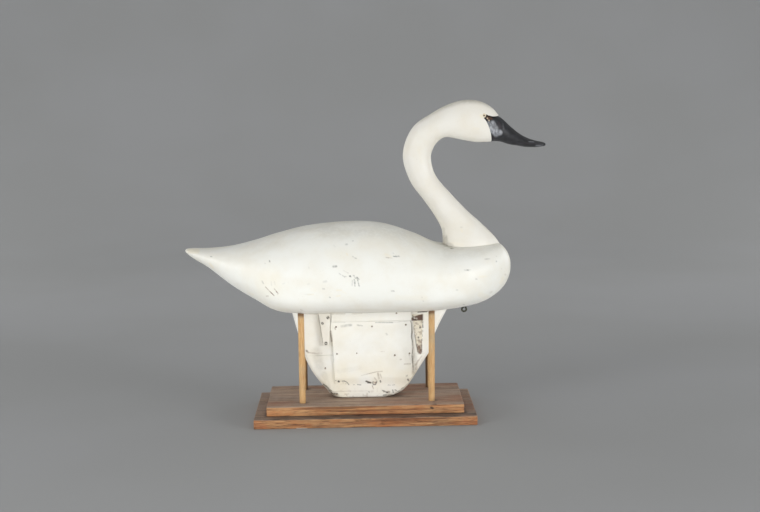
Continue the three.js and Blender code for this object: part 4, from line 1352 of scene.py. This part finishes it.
def panel_wear(grid, normal):
    """Wear with dirt and painted shade along the panel's top and rear edges, and a dimple at each nail."""
    paints, lift = keel_wear(grid, normal, panel_nails)
    x, y, z = np.moveaxis(grid, -1, 0)
    # Dirt and painted shade along the top and rear edges
    side = smooth_step(1.8, 0.4, np.minimum(np.abs(z - panel_top), np.abs(x - panel_rear(z))))
    paints["grime"] = paints["grime"] + 0.1 * side * smooth_step(-0.4, 0.5, ripple(grid, 12, 41))
    front = smooth_step(1.6, 0.5, near_panel_front(z) - x) * (y < 0) * smooth_step(80, 90, z)
    paints["brown"] = np.maximum(paints["brown"], 0.35 * front * smooth_step(-0.4, 0.4, ripple(grid, 6, 42)))
    return paints, lift - 0.35 * spots(grid, panel_nails, 1.6)


def rail_wear(grid, normal):
    """Wear with a stain round the rail's nail, and less flaked paint."""
    return keel_wear(grid, normal, rail_nails, 0.3)


def strap_wear(grid, normal):
    """Wear with dirt on the strap's edges, and paint pressed in round each screw."""
    screws = strap_screws + far_strap_screws
    paints, lift = keel_wear(grid, normal, screws, 0.3)
    around = spots(grid, screws, 2.6)
    edge = smooth_step(0.9, 0.5, np.abs(normal[..., 1])) * smooth_step(0.0, 0.6, ripple(grid, 9, 45))
    paints["grime"] = paints["grime"] + 0.12 * edge + 0.14 * around
    return paints, lift - 0.4 * around


def level(along):
    """An upright edge."""
    return lambda z: np.full_like(z, float(along))


def slant(ends, length):
    """A strap's edge: a straight line from its top to its foot."""
    top, foot = ends
    return lambda z: top + (foot - top) * (body_underside - z) / length


# Front edge of the near panel, which was split by hand along the grain: [height, along]
split_edge = [
    [67, 100.5], [79, 100.2], [91, 99.0], [102, 99.6], [112, 98.7], [122, 99.8], [133, 100.6], [141, 99.4],
    [148, 99.5], [160, 98.6], [176, 98.2], [190, 98.4], [199.3, 97.4],
]
tail_strap = tuple(slant(ends, tail_strap_length) for ends in tail_strap_edges)
breast_strap = tuple(slant(ends, breast_strap_length) for ends in breast_strap_edges)


def panel_line(ends, z):
    """A straight line from the panel's foot to its top."""
    foot, top = ends
    return foot + (top - foot) * (z - panel_foot) / (panel_top - panel_foot)


def panel_rear(z):
    """Rear edge of both panels: a leaning line that meets the strap beside it in its upper part."""
    leaning = panel_line(panel_rear_ends, z)
    return leaning + smooth_step(160, 181, z) * (tail_strap[1](z) + 0.5 - leaning)


def near_panel_front(z):
    """Front edge of the near panel, along the split but inside the keel's outline."""
    heights, along = np.array(split_edge).T
    return np.minimum(np.interp(z, heights, along) - 0.4, keel_front(z) - panel_inset)


def far_panel_front(z):
    """Front edge of the far panel: a leaning line, but inside the keel's outline."""
    return np.minimum(panel_line(far_panel_front_ends, z), keel_front(z) - panel_inset)


def near_panel_face(z):
    """Outer face of the near panel, planed down to a thin edge at its foot."""
    return near_face - panel_thickness * (0.2 + 0.8 * smooth_step(panel_foot - 3, panel_foot + 16, z))


near_face, far_face = -keel_face - clearance, keel_face + clearance
body_gap = body_underside - clearance
keel_columns = (236, 10, 60, 10, 7)
keel_outline = (keel_rear, keel_front)
keel_sides = (-keel_face, keel_face)
standing_piece(
    "keel_upper_plank", "keel_upper_board", keel_seam + clearance, body_gap, keel_outline, keel_sides,
    edge=(11, 7, 0.4, 0.5), columns=keel_columns, rows=78, paint=keel_paint, wear=upper_board_wear,
)
standing_piece(
    "keel_lower_plank", "keel_lower_board", keel_foot, keel_seam, keel_outline, keel_sides,
    edge=(11, 7, 3.0, 0.4), columns=keel_columns, rows=84, paint=keel_paint, wear=lower_board_wear,
    under_body=False,
)
standing_piece(
    "near_keel_panel", "panel_near", panel_foot, panel_top, (panel_rear, near_panel_front),
    (near_panel_face, near_face), edge=(0.8, 0.8, 0.1, 0.6), columns=(168, 2, 24, 2, 3), rows=136,
    paint=keel_paint, wear=panel_wear, under_body=False,
)
standing_piece(
    "far_keel_panel", "panel_far", panel_foot, panel_top, (panel_rear, far_panel_front),
    (far_face, far_face + panel_thickness), edge=(0.8, 0.8, 0.8, 0.8), columns=(20, 2, 100, 2, 3), rows=84,
    paint=keel_paint, wear=panel_wear, under_body=False,
)
rail_reach, rail_edge = (level(rail_rear), level(rail_front)), (0.7, 0.7, 0.6, 0.4)
standing_piece(
    "near_keel_rail", "rail_near", rail_foot, body_gap, rail_reach, (near_face - rail_thickness, near_face),
    edge=rail_edge, columns=(150, 3, 50, 3, 3), rows=18, paint=keel_paint, wear=rail_wear,
)
standing_piece(
    "far_keel_rail", "rail_far", rail_foot, body_gap, rail_reach, (far_face, far_face + rail_thickness),
    edge=rail_edge, columns=(50, 3, 110, 3, 3), rows=18, paint=keel_paint, wear=rail_wear,
)
near_strap_sides = (near_face - strap_thickness, near_face)
far_strap_sides = (far_face, far_face + strap_thickness)
for name, node, length, outline, sides, columns, rows in (
    ("near_tail_strap", "strap_near_tail", tail_strap_length, tail_strap, near_strap_sides, 30, 66),
    ("far_tail_strap", "strap_far_tail", tail_strap_length, tail_strap, far_strap_sides, 20, 50),
    ("far_breast_strap", "strap_far_breast", breast_strap_length, breast_strap, far_strap_sides, 20, 64),
):
    standing_piece(
        name, node, body_underside - length, body_gap, outline, sides,
        edge=(0.9, 0.9, 1.4, 0.5), columns=(columns, 6, 26, 6, 4), rows=rows,
        paint=strap_paint, wear=strap_wear,
    )


# Nails and screws
def heads(name, places, proud, sunk, slotted, paint):
    """Round heads on faces that look along Y: [along, height, radius, face, side]. The radius runs on a
    quarter circle to the rim, and a screw has a straight slot, turned differently in each. Proud, sunk and
    slotted are millimetres out of the face, into it, and into the head."""
    rings, sides = 9, 28
    slot_inner, slot_outer = 0.45, 0.75
    turn = np.linspace(0, 2 * np.pi, sides, endpoint=False)[None]
    rise = np.linspace(0.12, np.pi / 2, rings)[:, None]
    away = np.concatenate([np.sin(rise), np.ones((2, 1)), [[0.6]]])
    up = np.concatenate([proud * np.cos(rise), [[-sunk * 0.5], [-sunk], [-sunk]]])
    points, quads, triangles, at = [], [], [], 0
    for number, (along, height, radius, face, side) in enumerate(places):
        a, b = away * np.cos(turn), away * np.sin(turn)
        slot_turn = 0.7 + 1.9 * number
        beside = radius * np.abs(a * np.cos(slot_turn) + b * np.sin(slot_turn))
        cut = slotted * smooth_step(slot_outer, slot_inner, beside) * (np.arange(len(away)) < rings)[:, None]
        out = up + 0 * a - cut
        grid = np.stack([along + radius * a, face + side * out, height + radius * b], axis=-1)
        quad, triangle = closed_faces(*grid.shape[:2])
        if side > 0:
            quad, triangle = quad[:, ::-1], triangle[:, ::-1]
        start = [along, face + side * (proud - slotted), height]
        end = [along, face - side * sunk, height]
        points.append(np.concatenate([[start], grid.reshape(-1, 3), [end]]))
        quads.append(quad + at)
        triangles.append(triangle + at)
        at += len(points[-1])
    shape = [np.concatenate(rows) for rows in (points, quads, triangles)]
    return belongs(closed_mesh(name, *shape, paint, {}), "screw_eye_iron")


nails = [
    [*nail, side * (keel_face + out), side]
    for side in (-1, 1)
    for places, out in (
        (panel_nails, clearance + panel_thickness), (board_nails, 0), (rail_nails, clearance + rail_thickness)
    )
    for nail in places
]
heads("keel_nails", nails, proud=0.3, sunk=1.4, slotted=0.0, paint=painted_nails)
strap_face = keel_face + clearance + strap_thickness
screws = [[*screw, side * strap_face, side] for side in (-1, 1) for screw in strap_screws]
screws += [[*screw, strap_face, 1] for screw in far_strap_screws]
heads("strap_screws", screws, proud=0.25, sunk=1.8, slotted=0.8, paint=screw_steel)


# Screw eye: wire bent into a ring, and its shank up into the body
def tube(path, radius, sides):
    """Rings along a path: each in the plane of Y and of the normal to the path in the plane of the keel."""
    run = np.gradient(path, axis=0)
    run /= np.linalg.norm(run, axis=-1, keepdims=True)
    beside = np.array([0, 1.0, 0])
    normal = np.cross(run, beside)
    turn = np.linspace(0, 2 * np.pi, sides, endpoint=False)[None, :, None]
    radius = np.broadcast_to(radius, len(path))[:, None, None]
    return path[:, None] + radius * (np.cos(turn) * normal[:, None] + np.sin(turn) * beside)


def screw_eye():
    """A circle of wire that stays a little open, then a bend and a straight rise into the wood. Its bends
    are softened by a running mean."""
    low, high = (np.array(corner) * 1000 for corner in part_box("screw_eye"))
    # Radius of the wire and of the ring in millimetres, and where the ring starts and ends in degrees
    wire, ring, first, last = 1.9, 4.7, 66, -262
    middle_x, middle_z = (low[0] + high[0]) / 2, low[2] + wire + ring
    turn = np.linspace(math.radians(first), math.radians(last), 60)
    loop = np.stack([middle_x + ring * np.cos(turn), 0 * turn, middle_z + ring * np.sin(turn)], axis=-1)
    rise = np.linspace(0, 1, 26)[1:, None]
    start, end = loop[-1], np.array([middle_x, 0, high[2] - 0.2])
    shank = start + (end - start) * rise * [0, 0, 1] + (end - start) * smooth_step(0, 0.35, rise) * [1, 0, 0]
    path = np.concatenate([loop, shank])
    blur = np.array([1, 2, 3, 2, 1]) / 9
    smooth = np.stack([np.convolve(path[:, axis], blur, "valid") for axis in range(3)], axis=-1)
    path = np.concatenate([path[:2], smooth, path[-2:]])
    taper = np.interp(np.arange(len(path)), [0, 3, len(path) - 8, len(path) - 1], [0.8, 1, 1, 0.45])
    grid = tube(path, wire * taper, 14)
    ringed_piece("bent_wire_screw_eye", grid, wire_iron, "screw_eye_iron", ["screw_eye"])


screw_eye()


# Eyes
def eye(name, node, side):
    """A domed eye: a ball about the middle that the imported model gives, with its pupil at the pole."""
    pupil_inner, pupil_outer = 1.35, 1.75
    low, high = (np.array(corner) * 1000 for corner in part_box(node))
    middle, radius = (low + high) / 2, (high[0] - low[0]) / 2
    fall = np.linspace(0, np.pi, 46)[1:-1, None]
    turn = np.linspace(0, 2 * np.pi, 40, endpoint=False)[None]
    away, out = np.sin(fall) * radius, np.cos(fall) * radius + 0 * turn
    grid = middle + np.stack([away * np.cos(turn), side * out, away * np.sin(turn)], axis=-1)
    pupil = np.where(out > 0, smooth_step(pupil_outer, pupil_inner, away), 0)
    ends = (middle + [0, side * radius, 0], middle - [0, side * radius, 0])
    ringed_piece(name, grid, glass_eye, "eye_glass", [node], ends, pupil=pupil)


eye("near_eye", "eye_near", -1)
eye("far_eye", "eye_far", 1)


# Stand, with its marks in the photograph's pixels
board_knots = [[431.2, 407.6, 432.6, 408.2, 1.5, 0.9], [356.0, 420.6, 358.0, 421.0, 1.2, 0.3]]
board_scuffs = [[297.0, 428.6, 307.0, 428.6, 0.7, 0.9], [288.0, 429.2, 296.0, 428.9, 0.4, 0.3]]
board_rosy = [[466.0, 420.0, 478.0, 420.6, 5.5, 0.3], [252.0, 424.0, 264.0, 427.0, 4.6, 0.35]]
board_chips = [
    [431.0, 404.8, 436.0, 404.6, 0.8, 0.5],
    [433.4, 402.4, 435.6, 403.6, 1.6, 0.3],
    [300.0, 420.4, 312.0, 419.8, 0.6, 0.35],
    [366.0, 419.6, 371.0, 419.4, 0.7, 0.6],
    [376.0, 419.2, 383.0, 419.0, 0.6, 0.5],
    [402.0, 417.0, 416.0, 416.6, 0.5, 0.35],
    [280.0, 426.6, 300.0, 426.0, 0.5, 0.3],
    [330.0, 423.0, 352.0, 422.4, 0.5, 0.35],
    [380.0, 423.6, 410.0, 422.6, 0.5, 0.3],
]


def base_board(name, node, length, width, foot, seed):
    """A flat board: rounded rectangles across it, stacked along X. Its edges are softened by wear, with
    small dents, and dirt and painted shade lie where something stands on it."""
    # Radius of the end edges and of the long edges, and how deep wear, dents and chips go, in millimetres
    end_edge, long_edge = 1.6, 1.8
    wear_depth, dent_depth, chip_depth = 0.25, 1.1, 0.5
    stations, drawn = eased(230, end_edge, end_edge, length)
    x = stations - length / 2
    low = np.stack([drawn - width / 2, foot + drawn], axis=-1)
    high = np.stack([width / 2 - drawn, foot + board_thickness - drawn], axis=-1)
    radius = np.maximum(np.full_like(low, long_edge) - drawn[:, None] * 0.5, 0.3)
    flat = rectangles(low, high, radius, rounded_loop(44, 16, 110, 16, 3))
    station = np.broadcast_to(x[:, None, None], (*flat.shape[:2], 1))
    grid = with_end_rings(np.concatenate([station, flat], axis=-1))
    normal = normals_of(grid)
    wear = smooth_step(0.02, 0.25, 1 - np.abs(normal).max(axis=-1))
    dents = smooth_step(0.35, 0.8, ripple(grid, 9, seed))
    dents = dents + 0.5 * smooth_step(0.2, 0.8, ripple(grid, 26, seed + 1))
    fibres = ripple(grid * [0.06, 1, 1], 2.4, seed + 2)
    seen, turned = seen_at(grid), facing_camera(grid, normal)
    chips, knots, scuffs, rosy = (
        marked(seen, marks) * turned for marks in (board_chips, board_knots, board_scuffs, board_rosy)
    )
    lift = 0.15 * ripple(grid, 40, seed + 3) + 0.12 * fibres
    lift = lift - wear * (wear_depth + dent_depth * dents) - chip_depth * chips
    lift = np.where(normal[..., 2] < -0.5, 0, lift)
    top = smooth_step(0.3, 0.8, normal[..., 2])
    along, across = grid[..., 0], grid[..., 1]
    if node == "stand_lower_board":
        # Dirt and painted contact shade round the upper board, and all over the near ledge
        half_length, half_width = upper_base_length / 2, upper_base_width / 2
        away = np.maximum(np.abs(along) - half_length, np.abs(across) - half_width)
        ledge = across < 0.5 - half_width
        grime = 0.6 * smooth_step(9, 0, away) * (0.8 + 0.5 * ripple(grid, 14, seed + 4)) + 0.2
        grime = np.maximum(grime, 0.62 * ledge * (0.9 + 0.3 * ripple(grid, 20, seed + 7)))
    else:
        # Painted shadow with some dirt round the keel's foot, and round each dowel a little towards the
        # breast
        foot_rear, foot_front, foot_side = -58, 62, 22
        away = np.maximum(np.maximum(foot_rear - along, along - foot_front), np.abs(across) - foot_side)
        grime = 0.5 * smooth_step(20, 0, away) * (0.8 + 0.4 * ripple(grid, 18, seed + 4))
        for rod_x, rod_y in dowel_places:
            around = np.hypot(along - rod_x - 3, across - rod_y)
            grime = np.maximum(grime, 0.45 * smooth_step(13, 6, around))
    grime = np.clip(grime * top, 0, 1)
    speckle = smooth_step(0.5, 0.8, ripple(grid * [0.12, 1, 1], 3.0, seed + 5))
    grime = grime + 0.25 * speckle + 0.3 * dents * wear + np.maximum(0.85 * chips, knots)
    worn = wear * smooth_step(0.0, 0.6, ripple(grid, 14, seed + 6)) * 0.5
    grime = grime + 0.5 * wear * smooth_step(0.1, 0.7, ripple(grid * [0.5, 1, 1], 9, seed + 8))
    ringed_piece(
        name, grid + normal * lift[..., None], board_finish, "stand_wood", [node],
        dust=top, grime=grime, worn=worn, scuff=scuffs, rosy=rosy,
    )


dowel_places = [(x, y) for y in (-dowel_side, dowel_side) for x in (dowel_rear, dowel_front)]
upper_base_foot = board_thickness + clearance
base_board("lower_base_board", "stand_lower_board", lower_base_length, lower_base_width, 0, seed=51)
base_board(
    "upper_base_board", "stand_upper_board", upper_base_length, upper_base_width, upper_base_foot, seed=71,
)


# Painted shade on the far dowels where the keel shades them, in the photograph's pixels
far_dowel_painted_shade = [[307.4, 358.0, 307.6, 390.0, 1.6, 0.9], [425.8, 354.0, 426.0, 388.0, 2.4, 0.9]]


def dowel(name, node, x, y, lean, seed):
    """A rod: circles stacked along Z, a little out of round, whose top leans forward and follows the body's
    underside. Its top is painted darker, as shade under the body."""
    edge, sway, sway_length = 0.6, 0.35, 55
    foot = 2 * board_thickness - dowel_depth + 2 * clearance
    stations, drawn = eased(70, edge, edge, body_underside - foot)
    turn = np.linspace(0, 2 * np.pi, 30, endpoint=False)[None]
    radius = (dowel_diameter / 2 - drawn)[:, None]
    z = (foot + stations)[:, None] + 0 * turn
    bend = sway * np.sin(z / sway_length + seed)
    middle = x + bend * 0.6 + lean * (z - foot) / (body_underside - foot)
    grid = np.stack([middle + radius * np.cos(turn), y + bend * 0.5 + radius * np.sin(turn), z], axis=-1)
    grid = with_end_rings(grid, (0.4, 0.8))
    reach = stretch_to_body(grid, foot, body_underside)
    normal = normals_of(grid)
    grid = grid + normal * (0.05 * ripple(grid, 6, seed))[..., None]
    stains = smooth_step(0.5, 0.8, ripple(grid * [1, 1, 0.3], 7, seed + 1))
    # Painted shade round the top, just under the body
    rim = smooth_step(-9, -4, grid[..., 2] - reach - foot)
    grime = 0.25 * smooth_step(52, 38, grid[..., 2]) + 0.9 * rim + 0.3 * stains
    dark = 0.35 * rim
    if y > 0:
        # Painted shade where the keel shades the far dowels
        dark = dark + marked(seen_at(grid), far_dowel_painted_shade) * facing_camera(grid, normal)
    ringed_piece(name, grid, dowel_finish, "dowel_wood", [node], grime=grime, dark=dark)


for number, (along, across) in enumerate(dowel_places):
    side, end = ("near", "far")[number // 2], ("tail", "breast")[number % 2]
    lean = near_breast_lean if (side, end) == ("near", "breast") else 0.0
    dowel(f"{side}_{end}_rod", f"dowel_{side}_{end}", along, across, lean, 80 + 7 * number)


# Studio: a matt floor that curves up into a wall all round, out of sight of its edge
def studio():
    """Surface of revolution: flat to a radius, then a quarter circle up, then straight up."""
    flat, bend, wall, sides = 2600, 2200, 1800, 96
    rise = np.linspace(0, np.pi / 2, 18)
    away = np.concatenate([np.linspace(0, flat, 10)[1:], flat + bend * np.sin(rise[1:]), [flat + bend]])
    up = np.concatenate([np.zeros(9), bend * (1 - np.cos(rise[1:])), [bend + wall]])
    turn = np.linspace(0, 2 * np.pi, sides, endpoint=False)[None]
    away, up = away[:, None], up[:, None] + 0 * turn
    grid = np.stack([away * np.cos(turn), away * np.sin(turn), up], axis=-1)
    points = np.concatenate([[[0, 0, 0]], grid.reshape(-1, 3)])
    # The faces of a closed form without its last end, turned inwards
    quads, triangles = closed_faces(len(away), sides)
    faces = quads[:, ::-1].tolist() + triangles[:sides, ::-1].tolist()
    # Matt grey paper, a little uneven in broad clouds
    paper = finish(
        "grey_studio_paper", {"cloud": (900, even, 2, 0.35, 0.65, 0, 1)},
        [("#9FA0A1", 1, ""), ("#9C9D9D", 1, "cloud")], {"Roughness": 0.85, "Specular IOR Level": 0.25}, [],
    )
    floor = smooth_mesh("studio_floor", points, faces, paper, {})


studio()
world = bpy.data.worlds.new("studio")
bpy.context.scene.world = world
world.use_nodes = True
sky = world.node_tree.nodes["Background"]
sky.inputs["Color"].default_value = (1, 1, 1, 1)
sky.inputs["Strength"].default_value = 0.57


def place_camera():
    """The photograph's camera: its right, up and back as the columns of its matrix."""
    right, up, forward = camera_axes()
    camera = bpy.data.cameras.new("photo_camera")
    camera.sensor_width = sensor_wide
    camera.lens = focal_pixels / frame_wide * sensor_wide
    camera.clip_end = 100  # metres
    seat = bpy.data.objects.new("photo_camera", camera)
    turn = np.eye(4)
    turn[:3, 0], turn[:3, 1], turn[:3, 2], turn[:3, 3] = right, up, -forward, camera_place / 1000
    seat.matrix_world = Matrix(turn.tolist())
    bpy.context.scene.collection.objects.link(seat)
    bpy.context.scene.camera = seat


def add_lamp(name, place, target, wide, high, watts):
    """A soft rectangular lamp in metres, turned to a target and out of the camera's sight."""
    lamp = bpy.data.lights.new(name, "AREA")
    lamp.shape, lamp.size, lamp.size_y, lamp.energy = "RECTANGLE", wide, high, watts
    made = bpy.data.objects.new(name, lamp)
    aim = (Vector(target) - Vector(place)).to_track_quat("-Z", "Y").to_matrix().to_4x4()
    made.matrix_world = Matrix.Translation(Vector(place)) @ aim
    made.visible_camera = False
    bpy.context.scene.collection.objects.link(made)


place_camera()
# Lamps: (name, place, target, width, height, watts). Soft boxes stand low at both sides, in front and
# behind, and one hangs higher to the left
for lamp in (
    ("low_right", (2.9, -2.1, 0.65), (0, 0, 0.35), 1.6, 1.0, 64),
    ("low_left", (-2.9, -2.3, 0.65), (0, 0, 0.35), 1.6, 1.0, 49),
    ("low_front", (0.0, -3.3, 0.45), (0, 0, 0.3), 3.4, 0.45, 17),
    ("above_left", (-1.5, -1.6, 1.3), (-0.3, 0, 0.28), 0.8, 0.6, 6.8),
    ("behind_right", (3.2, 2.0, 0.95), (0, 0, 0.4), 1.6, 0.8, 19),
    ("behind_left", (-3.2, 2.0, 0.95), (0, 0, 0.4), 1.6, 0.8, 19),
    # Strips of light flat on the floor, where a photographer would lay white card to lift the underside
    ("card_tail", (-0.34, -0.36, 0.012), (-0.34, -0.34, 1), 0.5, 0.3, 0.72),
    ("card_breast", (0.33, -0.34, 0.012), (0.33, -0.32, 1), 0.24, 0.3, 0.4),
    ("card_back", (-0.05, 0.42, 0.012), (-0.05, 0.4, 1), 1.2, 0.25, 0.8),
    # On the wall behind the swan
    ("backdrop", (0, 1.3, 2.4), (0, 4.6, 0.6), 4.0, 0.8, 22),
):
    add_lamp(*lamp)
bpy.context.scene.view_settings.view_transform = "Standard"
